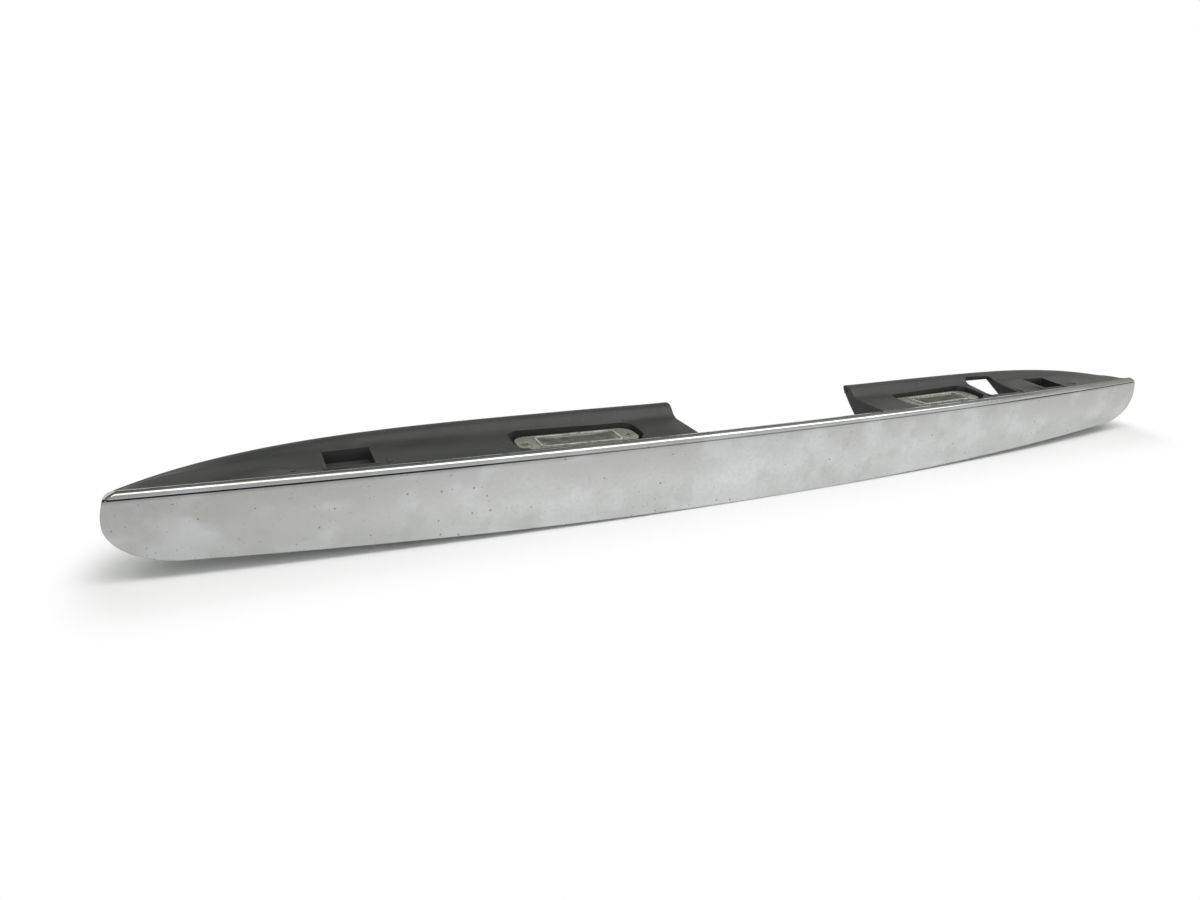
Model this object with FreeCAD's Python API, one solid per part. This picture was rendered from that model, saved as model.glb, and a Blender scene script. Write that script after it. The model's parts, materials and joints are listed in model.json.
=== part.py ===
"""Boot-lid finisher of a car: a chrome-plated bar with a dark moulded shelf and two
number-plate lamps.  It lies lamps up, on its arched edge and the tips of its studs.

Frame: +X along the bar, +Y from the chrome face towards the body panel, +Z up.
The origin is the bottom centre of the box round the whole bar.  Millimetres.
"""
import FreeCAD, Part
import math
import os

V = FreeCAD.Vector

# ---------------------------------------------------------------- driving dimensions
# Chrome face and its outline, seen from the front
HALF_LENGTH = 380.0      # middle of the bar to either tip
BOW = 19.3               # how far the tips sweep back behind the middle
LIP_HEIGHT = 43.2        # lowest point of the arched edge to the lip line, at the middle
LIP_FALL = 1.4           # drop of the lip line from the middle to the tips
ARCH_RISE = 9.9          # rise of the arched edge, if its arc ran on to the tips
CORNER_LENGTH = 32.1     # large round corner at each tip, along X
CORNER_HEIGHT = 21.5     # and along Z
TIP_BULGE = 1.3          # the tip swells past HALF_LENGTH below the lip
TIP_LEAN = 0.9           # and draws in again at the lip
TIP_ROUND = 8.1          # round over the end of the lip, along X
FACE_WALL = 2.4
FACE_CROWN = 0.55        # convexity of the face between its two edges

# Rolled lip along the straight edge of the face
LIP_RADIUS = 4.5
LIP_RADIUS_TIP = 3.6
LIP_OVERHANG = 0.8       # the roll stands proud of the face
LIP_WALL = 2.0
LIP_LEG = 3.5            # leg behind the roll, below the lip line

# Fits
FIT_GAP = 0.3            # moulding inside the chrome shell
LEG_GAP = 0.5            # moulding under the lip's leg
PIN_GAP = 0.05           # close fits: screws, pins and inserts
GLUE_LINE = 0.05
TAPE = 0.3               # under the foam strips

# Dark inner moulding
CUT_HALF = 74.3          # half of the gap for the boot release
SHELF_DEPTH = 45.5       # face to the shelf's back edge, near the middle
SHELF_DEPTH_TIP = 10.5
DEPTH_POWER = 7
SHELF_DROP = 0.9         # floor of the shelf below the top of the roll, at its front
SHELF_RISE = 0.7         # and its rise from there to the foot of the sweep
OUTER_RISE = 1.2         # more rise beyond the lamps' inner ends, lost again towards the tips
OUTER_RISE_FROM = 115.0
OUTER_RISE_FULL = 190.0
OUTER_RISE_POWER = 6
KICK_RISE = 11.1         # crest of the upswept back edge above the lip line, near the middle
KICK_FALL = 11.3         # and how much of that is lost towards the tips
KICK_POWER = 4.6
CREST_DROOP = 0.6        # further fall of the crest in its last stretch
CREST_DROOP_POWER = 20
FLOOR_DROOP = 6.5        # and of the shelf's floor, at its back
FLOOR_DROOP_POWER = 50
KICK_RUN = 13.0          # width of the sweep near the middle
KICK_RUN_TIP = 2.5
SKIN = 2.0
RIB = 2.2
RISER = 1.8
WING_END = 376.0         # last section of the shelf
EDGE_IN = 1.4            # crest of the back edge: inner side
EDGE_OUT = 1.8           # and outer side, from the shelf's depth
EDGE_ROUND = 1.9
EDGE_DEEP = 5.8          # height of the back edge's outer face

# Surface of the body panel behind the bar, from the crest of the back edge
MATE_BACK = 12.9
MATE_DOWN = 18.0
MATE_SLOPE = 1.16        # depth lost for each unit of height below that

# Pockets and duct in the shelf
POCKET_X = {"left": 272.0, "right": 269.5}
POCKET_HALF = 11.8
POCKET_BACK = 29.8       # face to the pocket's back wall
POCKET_DEEP = 7.0
POCKET_HOLE_R = 1.6
DUCT_INNER = 190.0       # the duct is only on the right
DUCT_OUTER = 222.0
DUCT_BACK = 39.2
DUCT_SKEW = 4.0
DUCT_ROUND = 5.0
DUCT_WALL_BACK = 41.4    # back edge of the duct's walls at the height DUCT_WALL_TOP
DUCT_WALL_TOP = 4.6      # above the lip line
DUCT_WALL_SLOPE = 1.55   # depth lost for each unit of height below that
RIB_X = (252.0, 298.0)

# Number-plate lamps
LAMP_X = 145.5
LAMP_BACK = 19.9         # face to the lamp's centre line
LAMP_RISE = 1.9          # top of the lens plate above the lip line
LENS_HALF = 37.0
LENS_FRONT = 8.7
LENS_REAR = 12.9
LENS_ROUND = 8.0
RECESS_END_GAP = 1.8     # recess round the lens: at its ends
RECESS_SIDE_GAP = 1.3    # and along its sides
RECESS_OUTER_GAP = 2.8    # at the outboard end
RECESS_HALF = LENS_HALF + RECESS_END_GAP
RECESS_OUTER = LENS_HALF + RECESS_OUTER_GAP
RECESS_FRONT = LENS_FRONT + RECESS_SIDE_GAP
RECESS_REAR = LENS_REAR + RECESS_SIDE_GAP
RECESS_ROUND = 6.5
LOW_FRONT = 2.2          # width of the lowered front edge
PAN_WALL = 1.8
LENS_PLATE = 2.2
WINDOW_HALF = 25.0
WINDOW_WIDTH = 17.0
WINDOW_SHIFT = 0.4       # window's centre line behind the lamp's
WINDOW_ROUND = 3.0
WINDOW_RAISE = 0.4
SCREW_PITCH = 63.0
SCREW_SHIFT = 0.5
SCREW_R = 1.4
SCREW_HEAD_R = 2.9
SCREW_HEAD = 1.7
SCREW_LENGTH = 12.5
SCREW_BOSS_R = 3.2
GASKET = 0.8
FLANGE = 1.0
HOUSING_HALF = 27.5
HOUSING_WIDTH = 18.0
HOUSING_SHIFT = 1.0
HOUSING_DEEP = 18.0
HOUSING_WALL = 1.6
BULB_R = 5.0
BULB_GLASS = 26.0
BULB_WALL = 0.6
BULB_DROP = 8.2          # flange to the bulb's axis
CAP_R = 3.3
CAP_LENGTH = 4.5
NOSE_R = 1.1
NOSE_LENGTH = 1.5
FILAMENT_R = 0.15
BRASS = 0.6
CONTACT_WIDTH = 6.0
CONTACT_GAP = 0.2
BLADE_PITCH = 5.0
BLADE_HEIGHT = 2.8
BLADE_REACH = 6.5
SOCKET_X = 14.0          # socket's centre, inboard of the lamp's
SOCKET_WIDTH = 12.0
SOCKET_HEIGHT = 10.0
SOCKET_DEEP = 12.0
SOCKET_WALL = 1.4
REFLECTOR_R = 6.6
REFLECTOR_HALF = 10.0
REFLECTOR_WALL = 0.4

# Fixings
STUD_X = (87.0, 240.0)
STUD_R = 3.0
STUD_LENGTH = 22.0       # proud of the moulding
STUD_CHAMFER = 0.8
SHOULDER_R = 3.7         # plain shoulder in the pad and the seal
SHOULDER_PROUD = 0.2     # past the seal
STUD_FLANGE_R = 4.9
STUD_FLANGE = 1.2
TOWER_HALF = 10.0
PAD_HALF = 9.0
PAD = 2.5
SEAL_RING_R = 8.5
SEAL_RING = 2.5
CLIP_X = 322.0
CLIP_Z = 29.0
CLIP_R = 2.6
CLIP_BARB_R = 3.9
CLIP_LENGTH = 14.0
CLIP_HEAD_R = 7.0
CLIP_HEAD = 1.6
PEG_X = (40.0, 130.0, 206.0, 272.0)
PEG_DOWN = 12.6          # below the lip line
PEG_R = 2.0
PEG_LENGTH = 8.8
WASHER_R = 6.0
WASHER = 0.5
EDGE_SEAL = 2.2
EDGE_SEAL_ENDS = (78.0, 350.0)
RIM_SEAL = 2.0
RIM_SEAL_END = 340.0

SIDES = {"left": -1, "right": 1}
BELOW = -6.0             # lofts start below the outline that trims them
ABOVE = 60.0
FAR = 90.0


# ---------------------------------------------------------------- shape of the bar
def arc_height(x, rise):
    """Height of a circular arc that rises by `rise` from x = 0 to the tips."""
    radius = (HALF_LENGTH ** 2 + rise ** 2) / (2 * rise)
    return radius - math.sqrt(radius ** 2 - x ** 2)


def share(x):
    return abs(x) / HALF_LENGTH


def plan(x):
    """Y of the face's front."""
    return arc_height(x, BOW)


def lip_z(x):
    return LIP_HEIGHT - LIP_FALL * share(x) ** 2


def lip_r(x):
    return LIP_RADIUS - (LIP_RADIUS - LIP_RADIUS_TIP) * share(x) ** 2


def lip_width(x):
    return 2 * lip_r(x) - LIP_OVERHANG


def floor_z(x):
    """Height of the shelf's floor at the foot of the sweep."""
    part = min(max((abs(x) - OUTER_RISE_FROM) / (OUTER_RISE_FULL - OUTER_RISE_FROM), 0), 1)
    outer = OUTER_RISE * part ** 2 * (3 - 2 * part) * (1 - share(x) ** OUTER_RISE_POWER)
    level = lip_z(x) + lip_r(x) - SHELF_DROP + SHELF_RISE + outer
    return level - FLOOR_DROOP * share(x) ** FLOOR_DROOP_POWER


def depth(x):
    return SHELF_DEPTH_TIP + (SHELF_DEPTH - SHELF_DEPTH_TIP) * (1 - share(x) ** DEPTH_POWER)


def crest_z(x):
    level = lip_z(x) + KICK_RISE - KICK_FALL * share(x) ** KICK_POWER
    return level - CREST_DROOP * share(x) ** CREST_DROOP_POWER


def kick_run(x):
    inner = depth(x) - SHELF_DEPTH_TIP
    return KICK_RUN_TIP + (KICK_RUN - KICK_RUN_TIP) * inner / (SHELF_DEPTH - SHELF_DEPTH_TIP)


def mate_y(x, z):
    """Y of the body panel behind the bar, on the straight part of its slope."""
    return plan(x) + depth(x) - MATE_BACK + MATE_SLOPE * (z - (crest_z(x) - MATE_DOWN))


# Unit vectors in the YZ plane: up the panel's slope, and out of the bar through it
SLOPE_LENGTH = math.hypot(MATE_SLOPE, 1.0)
UP_SLOPE = V(0, MATE_SLOPE / SLOPE_LENGTH, 1 / SLOPE_LENGTH)
OUTWARD = V(0, 1 / SLOPE_LENGTH, -MATE_SLOPE / SLOPE_LENGTH)


# ---------------------------------------------------------------- small helpers
def line(a, b):
    return Part.LineSegment(a, b).toShape()


def arc(a, b, c):
    return Part.Arc(a, b, c).toShape()


def bezier(*poles):
    curve = Part.BezierCurve()
    curve.setPoles(list(poles))
    return curve.toShape()


def polyline(points):
    return [line(a, b) for a, b in zip(points, points[1:])]


def closed(points):
    return Part.Wire(polyline(points + points[:1]))


def prism(wire, vector):
    return Part.Face(wire).extrude(vector)


def loft(section, stations):
    return Part.makeLoft([section(x) for x in stations], True, False)


def spread(low, high, count):
    """Stations from low to high, closer together towards high."""
    turns = [math.sin(math.pi / 2 * i / count) for i in range(count + 1)]
    return [low + (high - low) * t for t in turns]


def rounded(x0, x1, y0, y1, radius, z):
    """Rectangle with round corners, as a wire at height z."""
    h = radius * (1 - math.sqrt(0.5))
    edges = [
        line(V(x0 + radius, y0, z), V(x1 - radius, y0, z)),
        arc(V(x1 - radius, y0, z), V(x1 - h, y0 + h, z), V(x1, y0 + radius, z)),
        line(V(x1, y0 + radius, z), V(x1, y1 - radius, z)),
        arc(V(x1, y1 - radius, z), V(x1 - h, y1 - h, z), V(x1 - radius, y1, z)),
        line(V(x1 - radius, y1, z), V(x0 + radius, y1, z)),
        arc(V(x0 + radius, y1, z), V(x0 + h, y1 - h, z), V(x0, y1 - radius, z)),
        line(V(x0, y1 - radius, z), V(x0, y0 + radius, z)),
        arc(V(x0, y0 + radius, z), V(x0 + h, y0 + h, z), V(x0 + radius, y0, z)),
    ]
    return Part.Wire(edges)


def slab(x0, x1, y0, y1, radius, z0, z1):
    return prism(rounded(x0, x1, y0, y1, radius, z0), V(0, 0, z1 - z0))


def box(x0, x1, y0, y1, z0, z1):
    return Part.makeBox(x1 - x0, y1 - y0, z1 - z0, V(x0, y0, z0))


def cylinder(radius, length, base, axis):
    return Part.makeCylinder(radius, length, base, axis)


# ---------------------------------------------------------------- outline of the bar
def outline(inset):
    """Front outline as a prism through the bar, open at the top, drawn in by inset."""
    corner_x = HALF_LENGTH + TIP_BULGE - CORNER_LENGTH
    corner_z = arc_height(corner_x, ARCH_RISE)
    slope = 2 * corner_z / corner_x
    side_z = corner_z + CORNER_HEIGHT
    top_z = lip_z(HALF_LENGTH)
    cap_z = top_z + LIP_RADIUS_TIP + 0.8
    kappa = 0.5523
    start = -FAR

    def half(sign):
        def at(x, z):
            return V(sign * x, start, z)
        side_x = HALF_LENGTH + TIP_BULGE - inset
        lean_x = side_x - TIP_BULGE - TIP_LEAN
        low = at(corner_x, corner_z + inset)
        across = kappa * (side_x - corner_x)
        out = at(corner_x + across, corner_z + inset + across * slope)
        side = at(side_x, side_z)
        under = at(side_x, side_z - kappa * (CORNER_HEIGHT - inset))
        lean = at(lean_x, top_z)
        cap = at(lean_x - TIP_ROUND, cap_z)
        return low, [
            bezier(low, out, under, side),
            bezier(side, at(side_x, (side_z + top_z) / 2), lean),
            bezier(lean, at(lean_x - TIP_ROUND / 9, (top_z + cap_z) / 2), cap),
            line(cap, at(HALF_LENGTH - 50, ABOVE)),
        ]

    right_low, right = half(1)
    left_low, left = half(-1)
    bottom = arc(left_low, V(0, start, inset), right_low)
    top = line(V(HALF_LENGTH - 50, start, ABOVE), V(50 - HALF_LENGTH, start, ABOVE))
    wire = Part.Wire(Part.sortEdges([bottom, top] + right + left)[0])
    return prism(wire, V(0, 2 * FAR, 0))


# ---------------------------------------------------------------- chrome face
def shell_outside(x):
    y, z, r, w = plan(x), lip_z(x), lip_r(x), lip_width(x)
    front = y - LIP_OVERHANG
    foot = V(x, y + FACE_CROWN / 2, BELOW)
    head = V(x, y, z)
    return Part.Wire([
        arc(foot, V(x, y - FACE_CROWN, z / 2), head),
        line(head, V(x, front, z)),
        arc(V(x, front, z), V(x, front + r, z + r), V(x, y + w, z)),
        line(V(x, y + w, z), V(x, y + w, BELOW)),
        line(V(x, y + w, BELOW), foot),
    ])


def shell_inside(x):
    y, z, r, w = plan(x), lip_z(x), lip_r(x), lip_width(x)
    front = y + FACE_WALL
    back = y + w - LIP_WALL
    open_y = y + w + 2 * LIP_RADIUS
    crown = V(x, (front + back) / 2, z + r - LIP_WALL)
    low = BELOW - 1
    return Part.Wire([
        line(V(x, front, low), V(x, front, z)),
        arc(V(x, front, z), crown, V(x, back, z)),
    ] + polyline([V(x, back, z), V(x, back, z - LIP_LEG), V(x, open_y, z - LIP_LEG),
                  V(x, open_y, low), V(x, front, low)]))


def pegs(radius, start, length):
    """Cylinders on the face's peg positions, from `start` behind the face's front."""
    solids = []
    for x in PEG_X:
        for sign in SIDES.values():
            base = V(sign * x, plan(x) + start, lip_z(x) - PEG_DOWN)
            solids.append(cylinder(radius, length, base, V(0, 1, 0)))
    return solids


def chrome_face():
    reach = HALF_LENGTH + 3
    stations = [reach * (i - 10) / 10 for i in range(21)]
    shell = loft(shell_outside, stations).common(outline(0))
    hollow = loft(shell_inside, stations).common(outline(FACE_WALL))
    return shell.cut(hollow).fuse(pegs(PEG_R, FACE_WALL / 2, PEG_LENGTH - FACE_WALL / 2))


# ---------------------------------------------------------------- inner moulding
def spine_section(x):
    """Wall behind the face, web under the lip's leg and riser behind the lip."""
    y, z, w = plan(x), lip_z(x), lip_width(x)
    front = y + FACE_WALL + FIT_GAP
    back = front + RIB
    riser = y + w + FIT_GAP
    web = z - LIP_LEG - LEG_GAP
    points = [(front, BELOW), (front, web), (riser, web), (riser, z - 1), (riser + RISER, z - 1),
              (riser + RISER, web - RIB), (back, web - RIB), (back, BELOW)]
    return closed([V(x, a, b) for a, b in points])


def crest_points(x):
    """Start of the sweep, and the crest, round and outer face of the back edge."""
    edge = plan(x) + depth(x)
    top = crest_z(x)
    crest = V(x, edge - EDGE_IN, top)
    start = V(x, crest.y - kick_run(x), floor_z(x))
    return start, crest, V(x, edge, top), V(x, edge + EDGE_OUT, top - EDGE_ROUND), \
        V(x, edge - 0.3, top - EDGE_DEEP)


def sweep(start, crest):
    run = crest.y - start.y
    return bezier(start, V(start.x, start.y + 0.55 * run, start.z),
                  V(start.x, start.y + 0.5 * run, crest.z), crest)


def wing_section(x):
    """Floor of the shelf, its upswept back edge and the edge's short outer face."""
    front = plan(x) + lip_width(x) + FIT_GAP + 0.5
    leg = front + RISER - 1.0
    reach = lip_r(x) + FIT_GAP
    middle = V(x, front - 0.5 - reach, lip_z(x))

    def beside_roll(height):
        return middle + V(0, math.sqrt(reach ** 2 - height ** 2), height)
    edge = lip_r(x) - SHELF_DROP
    start, crest, top, outer, heel = crest_points(x)
    down = V(0, -0.3, -SKIN)
    inner_top = V(x, crest.y - 0.8, crest.z - SKIN - 0.7)
    inner_heel = V(x, heel.y - SKIN, heel.z + 0.4)
    low = lip_z(x) - 3.0
    under = start + down
    return Part.Wire(polyline([V(x, front, low), V(x, front, lip_z(x) - 0.5), beside_roll(0)])
                     + [arc(beside_roll(0), beside_roll(edge * 0.7), beside_roll(edge)),
                        line(beside_roll(edge), start)]
                     + [sweep(start, crest), line(crest, top),
                        bezier(top, V(x, outer.y, top.z), outer)]
                     + polyline([outer, heel, inner_heel, inner_top])
                     + [bezier(inner_top, V(x, under.y + 0.5 * (inner_top.y - under.y), inner_top.z),
                               V(x, under.y + 0.55 * (inner_top.y - under.y), under.z), under)]
                     + polyline([under, V(x, leg, under.z), V(x, leg, low), V(x, front, low)]))


def wall(x, thickness, sign):
    """Cross wall from the spine to the body panel, its first face at sign * x."""
    start, crest, top, outer, heel = crest_points(x)
    y, z = plan(x), lip_z(x)
    front = y + FACE_WALL + FIT_GAP + RIB / 2
    web = z - LIP_LEG - LEG_GAP - RIB / 2
    riser = y + lip_width(x) + FIT_GAP + RISER * 0.7
    sunk = V(0, 0, -SKIN / 2)
    tuck = V(0, -0.7, -0.4)
    knee = V(x, y + depth(x) - MATE_BACK, crest_z(x) - MATE_DOWN)
    toe = knee - UP_SLOPE * ((knee.y - front - 1.5) / UP_SLOPE.y)
    wire = Part.Wire(polyline([V(x, front, toe.z - 2), V(x, front, web), V(x, riser, web),
                               V(x, riser, start.z + sunk.z), start + sunk])
                     + [sweep(start + sunk, crest + sunk)]
                     + polyline([crest + sunk, top + sunk, outer + tuck, heel + tuck])
                     + [bezier(heel + tuck, knee + UP_SLOPE * 8, knee)]
                     + polyline([knee, toe, V(x, front, toe.z - 2)]))
    plate = prism(wire, V(thickness, 0, 0))
    return plate if sign > 0 else plate.mirror(V(0, 0, 0), V(1, 0, 0))


def slope_frame(x, z):
    """Point of the panel's slope at x and height z."""
    return V(x, mate_y(abs(x), z), z)


def duct_wall(x):
    """Wall beside the duct, cut back to its own slope."""
    depth_at_top = plan(x) + DUCT_WALL_BACK
    top = lip_z(x) + DUCT_WALL_TOP

    def behind(z):
        return V(x - 1, depth_at_top + DUCT_WALL_SLOPE * (z - top), z)
    low, high = behind(-FAR), behind(ABOVE)
    trim = prism(closed([low, V(x - 1, 3 * FAR, low.z), V(x - 1, 3 * FAR, high.z), high]), V(RIB + 2, 0, 0))
    return wall(x, RIB, 1).cut(trim)


def stud_base_z():
    """Height at which a stud's root puts its tip on the plane of the arched edge."""
    reach = STUD_LENGTH * -OUTWARD.z
    rim = max((STUD_R - STUD_CHAMFER) * UP_SLOPE.z,
              STUD_R * UP_SLOPE.z + STUD_CHAMFER * OUTWARD.z)
    return reach + rim


def tower(x, z):
    """Sloped pad with two cheeks, which carries a fixing square to the body panel."""
    root = slope_frame(x, z)
    front = plan(abs(x)) + FACE_WALL + FIT_GAP + RIB / 2
    ends = [root - UP_SLOPE * PAD_HALF, root + UP_SLOPE * PAD_HALF]
    side = V(-TOWER_HALF, 0, 0)
    inward = OUTWARD * -PAD
    pad = prism(closed([p + side for p in (ends[0], ends[1], ends[1] + inward, ends[0] + inward)]),
                V(2 * TOWER_HALF, 0, 0))
    cheek = [V(x, front, ends[0].z - 2), ends[0] + OUTWARD * -0.5, ends[1] + OUTWARD * -0.5,
             V(x, front, ends[1].z)]
    solids = [pad]
    for shift in (-TOWER_HALF + 0.3, TOWER_HALF - 0.3 - RIB):
        solids.append(prism(closed([p + V(shift, 0, 0) for p in cheek]), V(RIB, 0, 0)))
    return solids


def fixings(xs):
    return [sign * x for x in xs for sign in SIDES.values()]


def lamp_place(shape, sign):
    """Puts a lamp piece, drawn about its own centre with +X outboard, into the bar."""
    turn = math.degrees(math.asin(LAMP_X / ((HALF_LENGTH ** 2 + BOW ** 2) / (2 * BOW))))
    placed = shape.copy()
    placed.rotate(V(0, 0, 0), V(0, 0, 1), turn)
    placed.translate(V(LAMP_X, plan(LAMP_X) + LAMP_BACK, lip_z(LAMP_X) + LAMP_RISE))
    return placed if sign > 0 else placed.mirror(V(0, 0, 0), V(1, 0, 0))


# Heights in a lamp, from the top of its lens plate
GASKET_Z = -LENS_PLATE
FLANGE_Z = GASKET_Z - GASKET
PAN_Z = FLANGE_Z - FLANGE
SCREWS = [(-SCREW_PITCH / 2, SCREW_SHIFT), (SCREW_PITCH / 2, SCREW_SHIFT)]


def lamp_pan():
    """Solid of a lamp's pan before it is hollowed, with the screws' bosses below."""
    top = floor_z(LAMP_X) - lip_z(LAMP_X) - LAMP_RISE - 1.1
    pan = slab(-RECESS_HALF - PAN_WALL, RECESS_OUTER + PAN_WALL, -RECESS_FRONT - PAN_WALL + 0.5,
               RECESS_REAR + PAN_WALL, RECESS_ROUND, PAN_Z - PAN_WALL, top)
    bosses = [cylinder(SCREW_BOSS_R, SCREW_LENGTH, V(x, y, PAN_Z - SCREW_LENGTH), V(0, 0, 1))
              for x, y in SCREWS]
    return [pan] + bosses


def lamp_hollow():
    """Recess over the lens plate, hole for the housing and pilot holes."""
    wide = HOUSING_HALF + FIT_GAP
    front = HOUSING_SHIFT - HOUSING_WIDTH / 2 - FIT_GAP
    back = HOUSING_SHIFT + HOUSING_WIDTH / 2 + FIT_GAP
    recess = slab(-RECESS_HALF, RECESS_OUTER, -RECESS_FRONT, RECESS_REAR, RECESS_ROUND, PAN_Z, FAR)
    # the shelf between the recess and the roll is lowered to the lens, so that light gets out
    low_front = slab(-RECESS_HALF + RECESS_ROUND / 2, RECESS_OUTER - RECESS_ROUND, -RECESS_FRONT - LOW_FRONT,
                     -RECESS_FRONT + RECESS_ROUND, LOW_FRONT, -0.3, FAR)
    hole = slab(-wide, wide, front, back, 2.0, PAN_Z - 2 * PAN_WALL, PAN_Z + 1)
    pilots = [cylinder(SCREW_R + PIN_GAP, SCREW_LENGTH + 2, V(x, y, PAN_Z - SCREW_LENGTH - 1), V(0, 0, 1))
              for x, y in SCREWS]
    return [recess, low_front, hole] + pilots


def pocket_edges(x, grow):
    front = plan(x) + lip_width(x) + FIT_GAP + RISER - 0.8
    return x - POCKET_HALF - grow, x + POCKET_HALF + grow, front - grow / 2, plan(x) + POCKET_BACK + grow


def pocket_box(x):
    x0, x1, y0, y1 = pocket_edges(x, PAN_WALL)
    return box(x0, x1, y0, y1, floor_z(x) - POCKET_DEEP - PAN_WALL, floor_z(x) - 1.1)


def pocket_hollow(x):
    x0, x1, y0, y1 = pocket_edges(x, 0)
    low = floor_z(x) - POCKET_DEEP
    drain = V(x, (y0 + y1) / 2 - 3, low - 2 * PAN_WALL)
    return [slab(x0, x1, y0, y1, 1.0, low, FAR), cylinder(POCKET_HOLE_R, 3 * PAN_WALL, drain, V(0, 0, 1))]


def duct_hollow():
    """Slanted opening with two round back corners."""
    middle = (DUCT_INNER + DUCT_OUTER) / 2
    y0 = plan(middle) + lip_width(middle) + FIT_GAP + RISER + 0.3
    y1 = plan(middle) + DUCT_BACK
    low = floor_z(middle) - 3 * SKIN
    r = DUCT_ROUND
    a, b = V(DUCT_INNER, y0, low), V(DUCT_INNER + DUCT_SKEW, y1 - r, low)
    c, d = V(DUCT_INNER + DUCT_SKEW + r, y1, low), V(DUCT_OUTER + DUCT_SKEW - r, y1, low)
    e, f = V(DUCT_OUTER + DUCT_SKEW, y1 - r, low), V(DUCT_OUTER, y0, low)
    wire = Part.Wire([line(a, b), bezier(b, V(b.x, c.y, low), c), line(c, d),
                      bezier(d, V(e.x, d.y, low), e), line(e, f), line(f, a)])
    return prism(wire, V(0, 0, FAR))


def stud_holes(radius, x, z):
    root = slope_frame(x, z)
    return cylinder(radius, 3 * PAD, root + OUTWARD * (-2 * PAD), OUTWARD)


def inner_moulding():
    reach = HALF_LENGTH + 1
    body = loft(spine_section, [reach * (i - 10) / 10 for i in range(21)])
    wing = loft(wing_section, spread(CUT_HALF, WING_END, 12))
    adds = [wing, wing.mirror(V(0, 0, 0), V(1, 0, 0))]
    cuts = [duct_hollow()]
    for name, sign in SIDES.items():
        adds.append(wall(CUT_HALF + 0.3, RIB, sign))
        adds += [wall(x, RIB, sign) for x in RIB_X]
        adds += [lamp_place(s, sign) for s in lamp_pan()]
        cuts += [lamp_place(s, sign) for s in lamp_hollow()]
        pocket = [pocket_box(POCKET_X[name])] + pocket_hollow(POCKET_X[name])
        if sign < 0:
            pocket = [s.mirror(V(0, 0, 0), V(1, 0, 0)) for s in pocket]
        adds.append(pocket[0])
        cuts += pocket[1:]
    adds += [duct_wall(DUCT_INNER - RIB - 0.4), duct_wall(DUCT_OUTER + DUCT_SKEW + 0.4)]
    for x in fixings(STUD_X):
        adds += tower(x, stud_base_z())
        cuts.append(stud_holes(SHOULDER_R + PIN_GAP, x, stud_base_z()))
    for x in fixings([CLIP_X]):
        adds += tower(x, CLIP_Z)
        cuts.append(stud_holes(CLIP_R + PIN_GAP, x, CLIP_Z))
    cuts += pegs(PEG_R + FIT_GAP, FACE_WALL, RIB + 4)
    return body.fuse(adds).cut(cuts).common(outline(FACE_WALL + FIT_GAP))


# ---------------------------------------------------------------- lamps
def lens():
    plate = slab(-LENS_HALF, LENS_HALF, -LENS_FRONT, LENS_REAR, LENS_ROUND, -LENS_PLATE, 0)
    half = WINDOW_WIDTH / 2
    window = slab(-WINDOW_HALF, WINDOW_HALF, WINDOW_SHIFT - half, WINDOW_SHIFT + half, WINDOW_ROUND,
                  -LENS_PLATE / 2, WINDOW_RAISE)
    solid = plate.fuse(window)
    for x, y in SCREWS:
        solid = solid.cut(cylinder(SCREW_R + FIT_GAP, 2 * LENS_PLATE, V(x, y, -1.5 * LENS_PLATE), V(0, 0, 1)))
        solid = solid.cut(Part.makeCone(SCREW_R + FIT_GAP, SCREW_HEAD_R + FIT_GAP / 2, SCREW_HEAD,
                                        V(x, y, -SCREW_HEAD), V(0, 0, 1)))
        solid = solid.cut(cylinder(SCREW_HEAD_R + FIT_GAP / 2, 1, V(x, y, 0), V(0, 0, 1)))
    return solid


def gasket():
    inset = 0.6
    half = WINDOW_WIDTH / 2
    ring = slab(inset - LENS_HALF, LENS_HALF - inset, inset - LENS_FRONT, LENS_REAR - inset,
                LENS_ROUND - inset, FLANGE_Z, GASKET_Z)
    opening = slab(-WINDOW_HALF, WINDOW_HALF, WINDOW_SHIFT - half + 1.2, WINDOW_SHIFT + half - 1.2, 1.0,
                   FLANGE_Z - 1, GASKET_Z + 1)
    holes = [cylinder(SCREW_R + FIT_GAP, 3 * GASKET, V(x, y, FLANGE_Z - GASKET), V(0, 0, 1)) for x, y in SCREWS]
    return ring.cut([opening] + holes)


def blade_places():
    """Centres of the two blades along the lamp, inboard one first."""
    return [-SOCKET_X - BLADE_PITCH / 2, -SOCKET_X + BLADE_PITCH / 2]


HOUSING_FLOOR = FLANGE_Z - HOUSING_DEEP + HOUSING_WALL
HOUSING_BACK = HOUSING_SHIFT + HOUSING_WIDTH / 2
BULB_Z = FLANGE_Z - BULB_DROP
BLADE_Z = HOUSING_FLOOR + 3.6


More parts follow.
